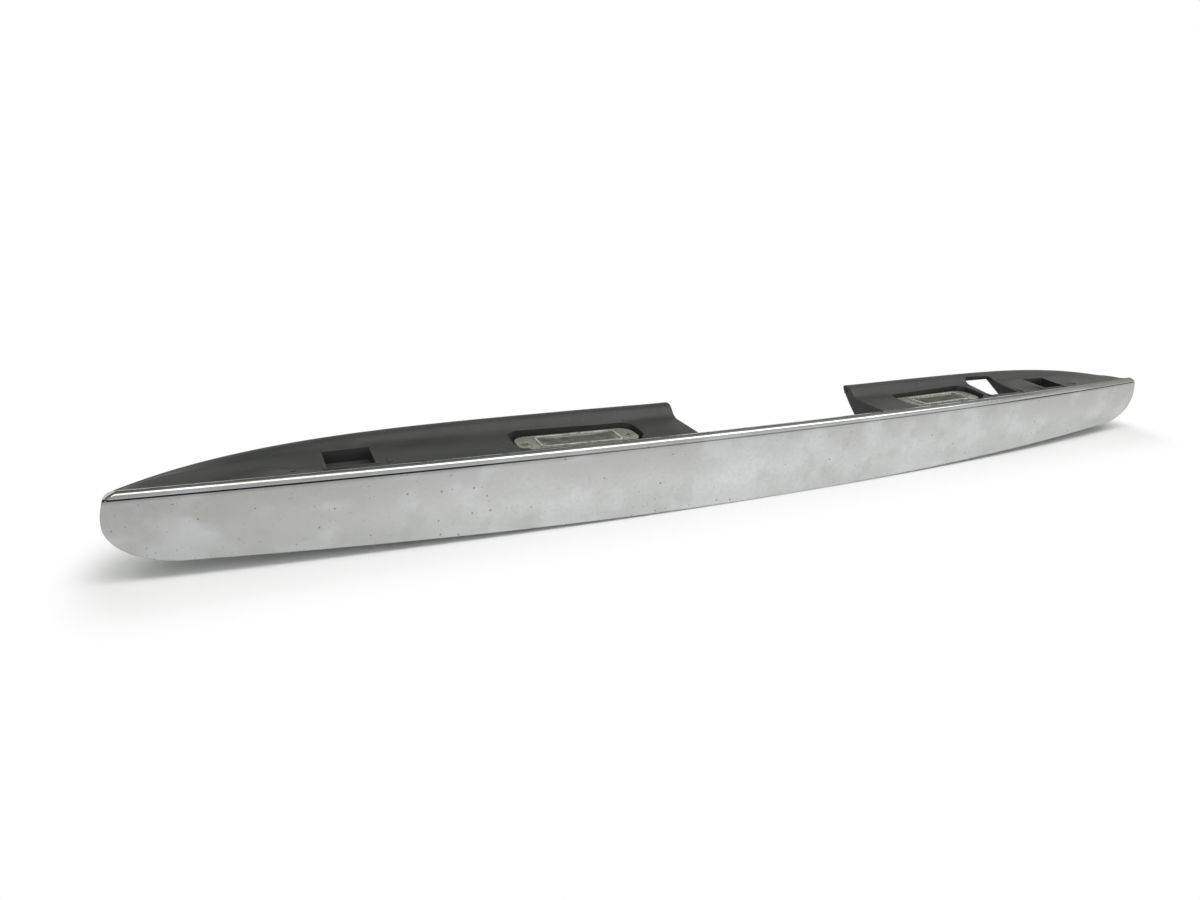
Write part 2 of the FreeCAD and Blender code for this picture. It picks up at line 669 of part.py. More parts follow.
def housing():
    inset = 1.0
    half = HOUSING_WIDTH / 2
    flange = slab(inset - LENS_HALF, LENS_HALF - inset, inset - LENS_FRONT, LENS_REAR - inset,
                  LENS_ROUND - inset, PAN_Z, FLANGE_Z)
    body = slab(-HOUSING_HALF, HOUSING_HALF, HOUSING_SHIFT - half, HOUSING_BACK, 2.0,
                HOUSING_FLOOR - HOUSING_WALL, FLANGE_Z)
    s0, s1 = -SOCKET_X - SOCKET_WIDTH / 2, -SOCKET_X + SOCKET_WIDTH / 2
    z0 = BLADE_Z - SOCKET_HEIGHT / 2
    z1 = BLADE_Z + SOCKET_HEIGHT / 2
    socket = box(s0, s1, HOUSING_BACK - HOUSING_WALL / 2, HOUSING_BACK + SOCKET_DEEP, z0, z1)
    mouth = box(s0 + SOCKET_WALL, s1 - SOCKET_WALL, HOUSING_BACK, HOUSING_BACK + SOCKET_DEEP + 1,
                z0 + SOCKET_WALL, z1 - SOCKET_WALL)
    cavity = slab(HOUSING_WALL - HOUSING_HALF, HOUSING_HALF - HOUSING_WALL,
                  HOUSING_SHIFT - half + HOUSING_WALL, HOUSING_BACK - HOUSING_WALL, 1.0,
                  HOUSING_FLOOR, FLANGE_Z + 1)
    slots = [box(x - BRASS / 2 - PIN_GAP, x + BRASS / 2 + PIN_GAP, HOUSING_BACK - 2 * HOUSING_WALL,
                 HOUSING_BACK + 1, BLADE_Z - BLADE_HEIGHT / 2 - PIN_GAP, BLADE_Z + BLADE_HEIGHT / 2 + PIN_GAP)
             for x in blade_places()]
    holes = [cylinder(SCREW_R + FIT_GAP, 3 * FLANGE, V(x, y, PAN_Z - FLANGE), V(0, 0, 1)) for x, y in SCREWS]
    return flange.fuse([body, socket]).cut([cavity, mouth] + slots + holes)


def along_bulb(radius, start, length):
    return cylinder(radius, length, V(start, HOUSING_SHIFT, BULB_Z), V(1, 0, 0))


def bulb_glass():
    half = BULB_GLASS / 2
    tube = along_bulb(BULB_R, -half, BULB_GLASS)
    tube = tube.makeFillet(BULB_R - CAP_R + 0.2, [e for e in tube.Edges if e.Length > 5 and e.Closed])
    bore = along_bulb(BULB_R - BULB_WALL, -half - 1, BULB_GLASS + 2)
    narrow = [along_bulb(CAP_R - BULB_WALL, -half - 1, BULB_GLASS + 2)]
    wide = along_bulb(BULB_R - BULB_WALL, -half + 2.4, BULB_GLASS - 4.8)
    return tube.cut(bore.common(narrow[0].fuse(wide)))


def bulb_caps():
    solids = []
    for end in (-1, 1):
        start = end * BULB_GLASS / 2
        cap = cylinder(CAP_R, CAP_LENGTH, V(start, HOUSING_SHIFT, BULB_Z), V(end, 0, 0))
        nose = cylinder(NOSE_R, NOSE_LENGTH + 0.5, V(start + end * (CAP_LENGTH - 0.5), HOUSING_SHIFT, BULB_Z),
                        V(end, 0, 0))
        solids.append(cap.fuse(nose))
    return solids


def filament():
    return along_bulb(FILAMENT_R, -BULB_GLASS / 2, BULB_GLASS)


def contacts():
    """Two stamped brass strips: spring plate, foot on the floor, tab and blade."""
    solids = []
    plate_x = BULB_GLASS / 2 + CAP_LENGTH + CONTACT_GAP
    cavity_back = HOUSING_BACK - HOUSING_WALL
    foot_y = cavity_back - CONTACT_GAP - 1.8
    for end, blade_x in zip((-1, 1), blade_places()):
        x0 = end * plate_x
        x1 = end * (plate_x + BRASS)
        low, high = min(x0, x1), max(x0, x1)
        plate = box(low, high, HOUSING_SHIFT - CONTACT_WIDTH / 2, cavity_back - CONTACT_GAP,
                    HOUSING_FLOOR, BULB_Z + CAP_R)
        plate = plate.cut(along_bulb(NOSE_R + PIN_GAP, -2 * plate_x, 4 * plate_x))
        left, right = min(low, blade_x - BRASS / 2), max(high, blade_x + BRASS / 2)
        foot = box(left, right, foot_y, cavity_back - CONTACT_GAP, HOUSING_FLOOR, HOUSING_FLOOR + BRASS)
        tab = box(blade_x - BRASS / 2, blade_x + BRASS / 2, foot_y, cavity_back - CONTACT_GAP,
                  HOUSING_FLOOR, BLADE_Z + BLADE_HEIGHT / 2)
        blade = box(blade_x - BRASS / 2, blade_x + BRASS / 2, foot_y + 0.5, HOUSING_BACK + BLADE_REACH,
                    BLADE_Z - BLADE_HEIGHT / 2, BLADE_Z + BLADE_HEIGHT / 2)
        solids.append(plate.fuse([foot, tab, blade]))
    return solids


def reflector():
    """Bright trough under the bulb, hung by two flanges on the housing's long walls."""
    outer = along_bulb(REFLECTOR_R, -REFLECTOR_HALF, 2 * REFLECTOR_HALF)
    inner = along_bulb(REFLECTOR_R - REFLECTOR_WALL, -REFLECTOR_HALF - 1, 2 * REFLECTOR_HALF + 2)
    over = box(-FAR, FAR, -FAR, FAR, BULB_Z, FAR)
    reach = HOUSING_WIDTH / 2 - HOUSING_WALL - PIN_GAP
    flanges = box(-REFLECTOR_HALF, REFLECTOR_HALF, HOUSING_SHIFT - reach, HOUSING_SHIFT + reach,
                  BULB_Z - REFLECTOR_WALL, BULB_Z)
    return outer.fuse(flanges).cut([inner, over])


def lamp_screw(place):
    x, y = place
    head = Part.makeCone(SCREW_R, SCREW_HEAD_R, SCREW_HEAD, V(x, y, -SCREW_HEAD), V(0, 0, 1))
    shank = cylinder(SCREW_R, SCREW_LENGTH, V(x, y, -SCREW_HEAD / 2 - SCREW_LENGTH), V(0, 0, 1))
    cross = [box(x - a, x + a, y - b, y + b, -1.0, 1.0) for a, b in ((1.5, 0.35), (0.35, 1.5))]
    return head.fuse(shank).cut(cross)


# ---------------------------------------------------------------- fixings and seals
def stud(x):
    """Threaded stud with a flange behind its pad; the tip stands on the bench."""
    root = slope_frame(x, stud_base_z())
    back = root + OUTWARD * -PAD
    shank = cylinder(STUD_R, STUD_LENGTH, root, OUTWARD)
    tip = [e for e in shank.Edges if e.Closed and (e.CenterOfMass - root).dot(OUTWARD) > STUD_LENGTH / 2]
    shank = shank.makeChamfer(STUD_CHAMFER, tip)
    shoulder = cylinder(SHOULDER_R, PAD + GLUE_LINE + SEAL_RING + SHOULDER_PROUD, back, OUTWARD)
    flange = cylinder(STUD_FLANGE_R, STUD_FLANGE, back + OUTWARD * -STUD_FLANGE, OUTWARD)
    return shank.fuse([shoulder, flange])


def seal_ring(x):
    root = slope_frame(x, stud_base_z()) + OUTWARD * GLUE_LINE
    ring = cylinder(SEAL_RING_R, SEAL_RING, root, OUTWARD)
    return ring.cut(cylinder(SHOULDER_R + PIN_GAP, 3 * SEAL_RING, root + OUTWARD * -SEAL_RING, OUTWARD))


def push_clip(x):
    """Nylon clip: head disc, shank through the pad and three barbs."""
    root = slope_frame(x, CLIP_Z)
    head = cylinder(CLIP_HEAD_R, CLIP_HEAD, root + OUTWARD * PIN_GAP, OUTWARD)
    shank = cylinder(CLIP_R, PAD + CLIP_LENGTH, root + OUTWARD * -PAD, OUTWARD)
    barbs = [Part.makeCone(CLIP_BARB_R, CLIP_R * 0.9, 3.0, root + OUTWARD * along, OUTWARD)
             for along in (4.0, 7.6, 11.2)]
    return head.fuse([shank] + barbs)


def star_washers():
    discs = pegs(WASHER_R, FACE_WALL + FIT_GAP + RIB + GLUE_LINE, WASHER)
    holes = pegs(PEG_R + PIN_GAP, FACE_WALL, RIB + 4)
    return [disc.cut(hole) for disc, hole in zip(discs, holes)]


def edge_seal_section(x):
    start, crest, top, outer, heel = crest_points(x)
    along = (heel - outer).normalize()
    out = V(0, -along.z, along.y)
    a = outer + along * 0.3 + out * TAPE
    b = heel + along * -0.2 + out * TAPE
    return closed([a, b, b + out * EDGE_SEAL, a + out * EDGE_SEAL])


def edge_seal(sign):
    low, high = EDGE_SEAL_ENDS
    strip = loft(edge_seal_section, spread(low, high, 10))
    return strip if sign > 0 else strip.mirror(V(0, 0, 0), V(1, 0, 0))


def rim_seal_section(x):
    y = plan(x) + lip_width(x) + TAPE
    z = arc_height(x, ARCH_RISE) + 0.3
    return closed([V(x, y, z), V(x, y + RIM_SEAL, z), V(x, y + RIM_SEAL, z + RIM_SEAL), V(x, y, z + RIM_SEAL)])


def rim_seal():
    return loft(rim_seal_section, [RIM_SEAL_END * (i - 8) / 8 for i in range(17)])


# ---------------------------------------------------------------- assembly
def nodes():
    pieces = {"chrome_face": chrome_face(), "inner_moulding": inner_moulding()}
    for name, sign in SIDES.items():
        pieces[name + "_lamp_lens"] = lamp_place(lens(), sign)
        pieces[name + "_lamp_gasket"] = lamp_place(gasket(), sign)
        pieces[name + "_lamp_housing"] = lamp_place(housing(), sign)
        pieces[name + "_bulb_glass"] = lamp_place(bulb_glass(), sign)
        pieces[name + "_edge_seal"] = edge_seal(sign)
    signs = SIDES.values()
    groups = {
        "bulb_caps": [lamp_place(s, sign) for s in bulb_caps() for sign in signs],
        "bulb_filaments": [lamp_place(filament(), sign) for sign in signs],
        "bulb_contacts": [lamp_place(s, sign) for s in contacts() for sign in signs],
        "lamp_reflectors": [lamp_place(reflector(), sign) for sign in signs],
        "lamp_screws": [lamp_place(lamp_screw(p), sign) for p in SCREWS for sign in signs],
        "mounting_studs": [stud(x) for x in fixings(STUD_X)],
        "stud_seals": [seal_ring(x) for x in fixings(STUD_X)],
        "push_clips": [push_clip(x) for x in fixings([CLIP_X])],
        "star_washers": star_washers(),
    }
    pieces["rim_seal"] = rim_seal()
    pieces.update({name: Part.makeCompound(solids) for name, solids in groups.items()})
    return pieces


def base_centre(shapes):
    """Bottom centre of the box round all the pieces."""
    whole = Part.makeCompound(shapes).optimalBoundingBox(False)
    return V((whole.XMin + whole.XMax) / 2, (whole.YMin + whole.YMax) / 2, whole.ZMin)


PIECES = nodes()
ORIGIN = base_centre(list(PIECES.values()))
os.makedirs("parts", exist_ok=True)
for name, shape in PIECES.items():
    placed = shape.copy()
    placed.translate(ORIGIN * -1)
    placed.exportStep("parts/" + name + ".step")
    size = placed.BoundBox
    print("%-20s solids %2d valid %s volume %9.1f  x %7.1f %7.1f  y %6.1f %6.1f  z %6.1f %6.1f" % (
        name, len(placed.Solids), placed.isValid(), placed.Volume,
        size.XMin, size.XMax, size.YMin, size.YMax, size.ZMin, size.ZMax))
print("origin", ORIGIN)
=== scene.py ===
"""Looks of a car's boot-lid finisher: a chrome-plated bar with a rolled lip, a dark moulded shelf
and two number-plate lamps.  It lies lamps up on a pale floor.

Frame: +X along the bar, +Y from the chrome face to the body panel, +Z up.  Metres.
"""

import json
import math

import bmesh
import bpy
from mathutils import Matrix, Vector, geometry, noise


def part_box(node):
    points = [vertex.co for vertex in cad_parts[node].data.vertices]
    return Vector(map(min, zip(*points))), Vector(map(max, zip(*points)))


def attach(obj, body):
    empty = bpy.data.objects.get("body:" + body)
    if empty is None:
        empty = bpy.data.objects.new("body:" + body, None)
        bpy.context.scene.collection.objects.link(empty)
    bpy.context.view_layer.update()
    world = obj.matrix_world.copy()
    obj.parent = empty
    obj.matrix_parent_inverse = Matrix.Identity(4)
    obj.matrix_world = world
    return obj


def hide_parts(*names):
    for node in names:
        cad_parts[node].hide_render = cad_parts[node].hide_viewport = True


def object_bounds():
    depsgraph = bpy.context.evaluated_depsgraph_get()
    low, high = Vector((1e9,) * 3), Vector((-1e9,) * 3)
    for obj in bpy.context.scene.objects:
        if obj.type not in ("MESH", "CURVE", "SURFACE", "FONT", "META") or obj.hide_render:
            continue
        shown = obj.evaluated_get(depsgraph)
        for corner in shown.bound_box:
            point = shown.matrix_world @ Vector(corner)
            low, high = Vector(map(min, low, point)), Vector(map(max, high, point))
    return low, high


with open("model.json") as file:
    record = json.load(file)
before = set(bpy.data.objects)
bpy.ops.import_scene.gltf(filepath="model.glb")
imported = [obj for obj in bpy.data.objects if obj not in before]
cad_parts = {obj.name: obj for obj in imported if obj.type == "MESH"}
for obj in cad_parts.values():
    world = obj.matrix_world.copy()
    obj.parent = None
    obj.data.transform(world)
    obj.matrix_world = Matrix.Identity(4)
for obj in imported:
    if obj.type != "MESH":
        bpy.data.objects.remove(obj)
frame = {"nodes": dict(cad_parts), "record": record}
cad_low, cad_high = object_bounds()


# ================================================================ camera
# Hand-held view from the left front, a little above the bar, with a wide lens.
CAMERA_PLACE = (-0.322022, -0.380800, 0.191891)
CAMERA_TURN = 0.468508      # from +Y towards +X
CAMERA_DIP = 0.352586       # below the horizon
CAMERA_TILT = 0.053645      # about its own axis
CAMERA_LENS = 23.0136

camera_data = bpy.data.cameras.new("camera")
camera_data.lens = CAMERA_LENS
camera_data.sensor_width = 36.0
camera_data.clip_start = 0.01
camera = bpy.data.objects.new("camera", camera_data)
camera.matrix_world = (
    Matrix.Translation(CAMERA_PLACE)
    @ Matrix.Rotation(-CAMERA_TURN, 4, "Z")
    @ Matrix.Rotation(math.pi / 2 - CAMERA_DIP, 4, "X")
    @ Matrix.Rotation(CAMERA_TILT, 4, "Z")
)
scene = bpy.context.scene
scene.collection.objects.link(camera)
scene.camera = camera
scene.view_settings.view_transform = "Standard"


# ================================================================ floor and backdrop
# A pale bench that sweeps up into a wall all round, high enough to stand behind the bar in a low
# view.  Near the bar it takes its shadow; farther out it is plain white to the eye and in the
# reflections.
FLOOR_HUB = 0.02            # radius of the hole that the spin leaves, which is filled
FLOOR_RADIUS = 12.0
RIM_RADIUS = 15.6
RIM_HEIGHT = 5.8
SHADOW_REACH = (0.018, 0.065)   # from the bar's middle line: where the white starts and is full
SHADOW_END = 0.012          # the middle line ends this far short of the tips
SHADOW_TAPER = 1.6          # and a distance past it counts this many times


def new_material(name):
    material = bpy.data.materials.new(name)
    material.use_nodes = True
    tree = material.node_tree
    shader = tree.nodes["Principled BSDF"]
    return material, tree, shader


def node(tree, kind, inputs=None, **settings):
    """Adds a node: settings are its own properties, and inputs its sockets' values or links."""
    made = tree.nodes.new(kind)
    for name, value in settings.items():
        setattr(made, name, value)
    for name, value in (inputs or {}).items():
        if isinstance(value, bpy.types.NodeSocket):
            tree.links.new(value, made.inputs[name])
        else:
            made.inputs[name].default_value = value
    return made


def maths(tree, operation, first, second=0.0, clamp=False):
    return node(tree, "ShaderNodeMath", {0: first, 1: second}, operation=operation,
                use_clamp=clamp).outputs[0]


def range_of(tree, value, low=0.0, high=1.0, start=0.0, end=1.0, smooth=False):
    """Value that goes from low to high while the given one goes from start to end."""
    return node(tree, "ShaderNodeMapRange", {
        "Value": value, "From Min": start, "From Max": end, "To Min": low, "To Max": high},
        interpolation_type="SMOOTHSTEP" if smooth else "LINEAR").outputs[0]


def finished(name, mesh_builder, smooth_angle=35.0):
    """Object of a finished bmesh, smooth but for its edges sharper than smooth_angle."""
    mesh = bpy.data.meshes.new(name)
    mesh_builder.to_mesh(mesh)
    mesh_builder.free()
    mesh.shade_smooth()
    mesh.set_sharp_from_angle(angle=math.radians(smooth_angle))
    made = bpy.data.objects.new(name, mesh)
    scene.collection.objects.link(made)
    return made


floor_mesh = bmesh.new()
rim_points = geometry.interpolate_bezier(
    Vector((FLOOR_RADIUS, 0, 0)), Vector((RIM_RADIUS, 0, 0)),
    Vector((RIM_RADIUS, 0, 0)), Vector((RIM_RADIUS, 0, RIM_HEIGHT)), 16)
profile = [floor_mesh.verts.new(p) for p in [Vector((FLOOR_HUB, 0, 0))] + rim_points]
for a, b in zip(profile, profile[1:]):
    floor_mesh.edges.new((a, b))
bmesh.ops.spin(floor_mesh, geom=floor_mesh.verts[:] + floor_mesh.edges[:], cent=(0, 0, 0),
               axis=(0, 0, 1), angle=2 * math.pi, steps=96, use_merge=True)
bmesh.ops.holes_fill(floor_mesh, edges=[e for e in floor_mesh.edges
                                        if e.is_boundary and e.verts[0].co.z < RIM_HEIGHT / 2])
bmesh.ops.recalc_face_normals(floor_mesh, faces=floor_mesh.faces)
if floor_mesh.faces[0].normal.z < 0:
    bmesh.ops.reverse_faces(floor_mesh, faces=floor_mesh.faces)
floor = finished("floor", floor_mesh, 60.0)

material, tree, shader = new_material("pale_bench")
shader.inputs["Base Color"].default_value = (0.95, 0.95, 0.95, 1)
shader.inputs["Roughness"].default_value = 0.75
shader.inputs["Specular IOR Level"].default_value = 0.2
# distance from the bar's middle line, which past the line's ends grows faster
axes = node(tree, "ShaderNodeSeparateXYZ", {0: node(tree, "ShaderNodeTexCoord").outputs["Object"]})
past = maths(tree, "SUBTRACT", maths(tree, "ABSOLUTE", axes.outputs["X"]), cad_high.x - SHADOW_END)
past = maths(tree, "MULTIPLY", maths(tree, "MAXIMUM", past, 0.0), SHADOW_TAPER)
away = node(tree, "ShaderNodeVectorMath", {0: node(tree, "ShaderNodeCombineXYZ", {
    "X": past, "Y": axes.outputs["Y"], "Z": axes.outputs["Z"]}).outputs[0]}, operation="LENGTH")
far = range_of(tree, away.outputs["Value"], start=SHADOW_REACH[0], end=SHADOW_REACH[1], smooth=True)
# the eye, the reflections and what is seen through glass all get the white
rays = node(tree, "ShaderNodeLightPath")
seen = maths(tree, "MAXIMUM", maths(tree, "MAXIMUM", rays.outputs["Is Camera Ray"],
                                    rays.outputs["Is Glossy Ray"]),
             rays.outputs["Is Transmission Ray"])
white = node(tree, "ShaderNodeEmission", {"Color": (1, 1, 1, 1), "Strength": 1.0})
mix = node(tree, "ShaderNodeMixShader", {0: maths(tree, "MULTIPLY", far, seen),
                                         1: shader.outputs[0], 2: white.outputs[0]})
tree.links.new(mix.outputs[0], tree.nodes["Material Output"].inputs["Surface"])
floor.data.materials.append(material)


# ================================================================ light
# A long softbox overhead, a little in front, and a dim room that is palest in front.
SOFTBOX_SIZE = (4.2, 0.95)
SOFTBOX_PLACE = (0.55, -0.58, 1.85)
SOFTBOX_TURN = -10.0        # degrees about Z
SOFTBOX_TILT = -26.0        # degrees about its long side: it faces down and forwards
SOFTBOX_POWER = 34.0
ROOM = ((0.0, (0.80, 0.82, 0.83)), (0.38, (0.70, 0.72, 0.72)), (0.5, (0.47, 0.48, 0.45)),
        (0.72, (0.23, 0.24, 0.215)), (1.0, (0.13, 0.14, 0.125)))     # from the front to the back


def colour_ramp(tree, factor, stops):
    """Colour over a factor, by (position, colour) stops in order."""
    made = node(tree, "ShaderNodeValToRGB", {0: factor})
    elements = made.color_ramp.elements
    elements[0].position, elements[0].color = stops[0][0], (*stops[0][1], 1)
    elements[1].position, elements[1].color = stops[-1][0], (*stops[-1][1], 1)
    for position, colour in stops[1:-1]:
        elements.new(position).color = (*colour, 1)
    return made.outputs[0]


lamp = bpy.data.lights.new("softbox", "AREA")
lamp.shape = "RECTANGLE"
lamp.size, lamp.size_y = SOFTBOX_SIZE
lamp.energy = SOFTBOX_POWER
lamp.color = (1.0, 0.995, 0.98)
softbox = bpy.data.objects.new("softbox", lamp)
softbox.matrix_world = (Matrix.Translation(SOFTBOX_PLACE)
                        @ Matrix.Rotation(math.radians(SOFTBOX_TURN), 4, "Z")
                        @ Matrix.Rotation(math.radians(SOFTBOX_TILT), 4, "X"))
scene.collection.objects.link(softbox)

world = bpy.data.worlds.new("room")
scene.world = world
world.use_nodes = True
tree = world.node_tree
heading = node(tree, "ShaderNodeSeparateXYZ", {0: node(tree, "ShaderNodeTexCoord").outputs["Generated"]})
backwards = range_of(tree, heading.outputs["Y"], start=-1.0)
tree.links.new(colour_ramp(tree, backwards, ROOM), tree.nodes["Background"].inputs["Color"])


# ================================================================ shared finishes
# Specks of grit, soft clouds of haze and dirt, and a fine grain, each a group with its own
# inputs that the materials share.
FLOAT, VECTOR = "NodeSocketFloat", "NodeSocketVector"


def group(name, output, inputs):
    """Node group with one output; the group, what it is given and the output's socket."""
    made = bpy.data.node_groups.new(name, "ShaderNodeTree")
    for socket, kind, value in inputs:
        made.interface.new_socket(socket, in_out="INPUT", socket_type=kind).default_value = value
    made.interface.new_socket(output, in_out="OUTPUT", socket_type=FLOAT)
    entry = made.nodes.new("NodeGroupInput")
    leave = made.nodes.new("NodeGroupOutput")
    return made, entry.outputs, leave.inputs[output]


# specks: small round marks, only in some of the cells of a grid of `Cell` metres
specks, given, out = group("specks", "Mask", [
    ("Cell", FLOAT, 0.008), ("Size", FLOAT, 0.06), ("Share", FLOAT, 0.3)])
axes = node(specks, "ShaderNodeSeparateXYZ", {0: node(specks, "ShaderNodeTexCoord").outputs["Object"]})
upright = maths(specks, "ADD", axes.outputs["Y"], axes.outputs["Z"])
place = node(specks, "ShaderNodeCombineXYZ", {"X": axes.outputs["X"], "Y": upright}).outputs[0]
cells = node(specks, "ShaderNodeTexVoronoi", {
    "Vector": place, "Scale": maths(specks, "DIVIDE", 1.0, given["Cell"])}, voronoi_dimensions="2D")
chance = node(specks, "ShaderNodeSeparateColor", {0: cells.outputs["Color"]})
radius = maths(specks, "MULTIPLY", given["Size"], chance.outputs["Red"])
inside = range_of(specks, cells.outputs["Distance"], start=radius,
                  end=maths(specks, "MULTIPLY", radius, 0.5))
kept = maths(specks, "LESS_THAN", chance.outputs["Green"], given["Share"])
specks.links.new(maths(specks, "MULTIPLY", inside, kept, True), out)

# clouds: soft patches, from a noise of `Cell` metres that is cut at a level
clouds, given, out = group("clouds", "Mask", [
    ("Cell", FLOAT, 0.03), ("Level", FLOAT, 0.5), ("Softness", FLOAT, 0.15), ("Detail", FLOAT, 4.0),
    ("Stretch", VECTOR, (1, 1, 1))])
place = node(clouds, "ShaderNodeVectorMath", {
    0: node(clouds, "ShaderNodeTexCoord").outputs["Object"], 1: given["Stretch"]},
    operation="MULTIPLY").outputs[0]
pattern = node(clouds, "ShaderNodeTexNoise", {
    "Vector": place, "Scale": maths(clouds, "DIVIDE", 1.0, given["Cell"]), "Detail": given["Detail"]})
clouds.links.new(range_of(clouds, pattern.outputs["Fac"],
                          start=maths(clouds, "SUBTRACT", given["Level"], given["Softness"]),
                          end=maths(clouds, "ADD", given["Level"], given["Softness"]), smooth=True), out)

# grain: height of a fine leather-like or cast grain
grain, given, out = group("grain", "Height", [("Cell", FLOAT, 0.0006), ("Detail", FLOAT, 3.0)])
pattern = node(grain, "ShaderNodeTexNoise", {
    "Vector": node(grain, "ShaderNodeTexCoord").outputs["Object"],
    "Scale": maths(grain, "DIVIDE", 1.0, given["Cell"]), "Detail": given["Detail"]})
grain.links.new(pattern.outputs["Fac"], out)


def placed(tree, shared, **values):
    """Puts a shared group in a material, with values for its inputs."""
    return node(tree, "ShaderNodeGroup", values, node_tree=shared).outputs[0]


def blend(tree, mask, first, second, most=1.0):
    """Colour that goes from first towards second with a mask, and at most by `most`."""
    if most != 1.0:
        mask = maths(tree, "MULTIPLY", mask, most)
    made = node(tree, "ShaderNodeMix", {"Factor": mask}, data_type="RGBA")
    for socket, value in (("A", first), ("B", second)):
        where = next(s for s in made.inputs if s.name == socket and s.type == "RGBA")
        if isinstance(value, bpy.types.NodeSocket):
            tree.links.new(value, where)
        else:
            where.default_value = (*value, 1)
    return next(s for s in made.outputs if s.type == "RGBA")


def bump(tree, height, strength, distance):
    return node(tree, "ShaderNodeBump", {
        "Height": height, "Strength": strength, "Distance": distance}).outputs[0]


# ================================================================ chrome face
# Chrome-plated plastic shell: a bowed strip with an arched lower edge, returned edges and a
# rolled lip.  Its plating is hazed, with grit on it; its colour carries painted reflections, and
# the crease under the roll is painted dark as shade.
face_low, face_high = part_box("chrome_face")
TIP_BULGE = 0.0013          # the sides reach this far past the half length
HALF_LENGTH = face_high.x - TIP_BULGE
BOW = 0.0193                # the tips sweep back
LIP_RISE = 0.0045           # radius of the roll at the middle
LIP_RISE_TIP = 0.0036
LIP_HEIGHT = face_high.z - LIP_RISE
LIP_FALL = 0.0014           # the lip line is lower at the tips
OVERHANG = 0.0008           # the roll stands proud of the face
FACE_Y = face_low.y + OVERHANG
ARCH_RISE = 0.0099          # of the lower edge, at the tips
CROWN = 0.0005              # the face swells forward between its edges
CORNER_LENGTH = 0.0321      # lower corners
CORNER_HEIGHT = 0.0215
ROUNDNESS = 0.5523          # handle of a quarter circle, for a radius of 1
TIP_LEAN = 0.0009           # the sides lean in up to the lip line
TIP_ROUND = 0.0081          # and round over into the cap of the roll
CAP_RISE = 0.0008
LEG = 0.0035                # the roll's back reaches this far below the lip line
SHELL = 0.0021              # wall
EDGE_ROUND = 0.0010         # rounding of the face's outline
ROLL_END = 0.0026           # rounding of the roll's ends
GROOVE_DEPTH = 0.0007       # groove between the face and the roll
GROOVE_LOW = -0.0001        # heights from the lip line
GROOVE_HIGH = 0.0010
GROOVE_MARGIN = 0.0002      # its painted shade starts this far below it
GROOVE_SPREAD = 0.35        # is this strong at its edges
GROOVE_FRONT = 0.002        # and lies only this close behind the face
FACE_COLUMNS = 180
FACE_ROWS = 34
FACE_CROWDING = 1.7         # power that crowds the rows towards the lower corners
ROLL_ROWS = 12              # in a quarter of the roll


def tip_share(x):
    return min(abs(x) / HALF_LENGTH, 1.0)


def arc_height(x, rise):
    """Height at x of an arc that passes the origin and rises by `rise` at the tips."""
    radius = (HALF_LENGTH ** 2 + rise ** 2) / (2 * rise)
    return radius - math.sqrt(radius ** 2 - x ** 2)


def bow(x):
    return FACE_Y + arc_height(x, BOW)


def lip_line(x):
    return LIP_HEIGHT - LIP_FALL * tip_share(x) ** 2


def roll_radius(x):
    return LIP_RISE - (LIP_RISE - LIP_RISE_TIP) * tip_share(x) ** 2


def lip_back(x):
    return bow(x) - OVERHANG + 2 * roll_radius(x)


# the end of the outline, from the lower corner up to the cap of the roll
corner_x = HALF_LENGTH + TIP_BULGE - CORNER_LENGTH
corner_z = arc_height(corner_x, ARCH_RISE)
side_x, side_z = HALF_LENGTH + TIP_BULGE, corner_z + CORNER_HEIGHT
lean_x, tip_lip = HALF_LENGTH - TIP_LEAN, lip_line(HALF_LENGTH)
cap_x, cap_z = lean_x - TIP_ROUND, tip_lip + LIP_RISE_TIP + CAP_RISE


def curve(*points):
    """Points along a curve in X and Z with two handles."""
    return geometry.interpolate_bezier(*[Vector((x, 0, z)) for x, z in points], 24)


def one_handled(a, handle, c):
    """Points along a curve with one handle, by the two-handled curve that matches it."""
    first, second = [[end + (pull - end) * 2 / 3 for end, pull in zip(tip, handle)] for tip in (a, c)]
    return curve(a, first, second, c)


across = ROUNDNESS * (side_x - corner_x)
end_curve = curve((corner_x, corner_z), (corner_x + across, corner_z + 2 * across * corner_z / corner_x),
                  (side_x, side_z - ROUNDNESS * CORNER_HEIGHT), (side_x, side_z))
end_curve += one_handled((side_x, side_z), (side_x, (side_z + tip_lip) / 2), (lean_x, tip_lip))[1:]
end_curve += one_handled((lean_x, tip_lip), (lean_x - TIP_ROUND / 9, (tip_lip + cap_z) / 2),
                         (cap_x, cap_z))[1:]


def end_x(z):
    """Half length of the outline at height z."""
    for a, b in zip(end_curve, end_curve[1:]):
        if z <= b.z:
            return a.x + (b.x - a.x) * max(0.0, z - a.z) / max(b.z - a.z, 1e-9)
    return end_curve[-1].x


def bottom_z(x):
    """Height of the outline's lower side at x."""
    if abs(x) <= corner_x:
        return arc_height(x, ARCH_RISE)
    for a, b in zip(end_curve, end_curve[1:]):
        if abs(x) <= b.x:
            return a.z + (b.z - a.z) * (abs(x) - a.x) / max(b.x - a.x, 1e-9)
    return tip_lip


def turned_edge(inward, radius):
    """Setback that rounds an edge, at a distance inward from the outline."""
    short = max(0.0, radius - inward)
    return radius - math.sqrt(max(0.0, radius ** 2 - short ** 2))


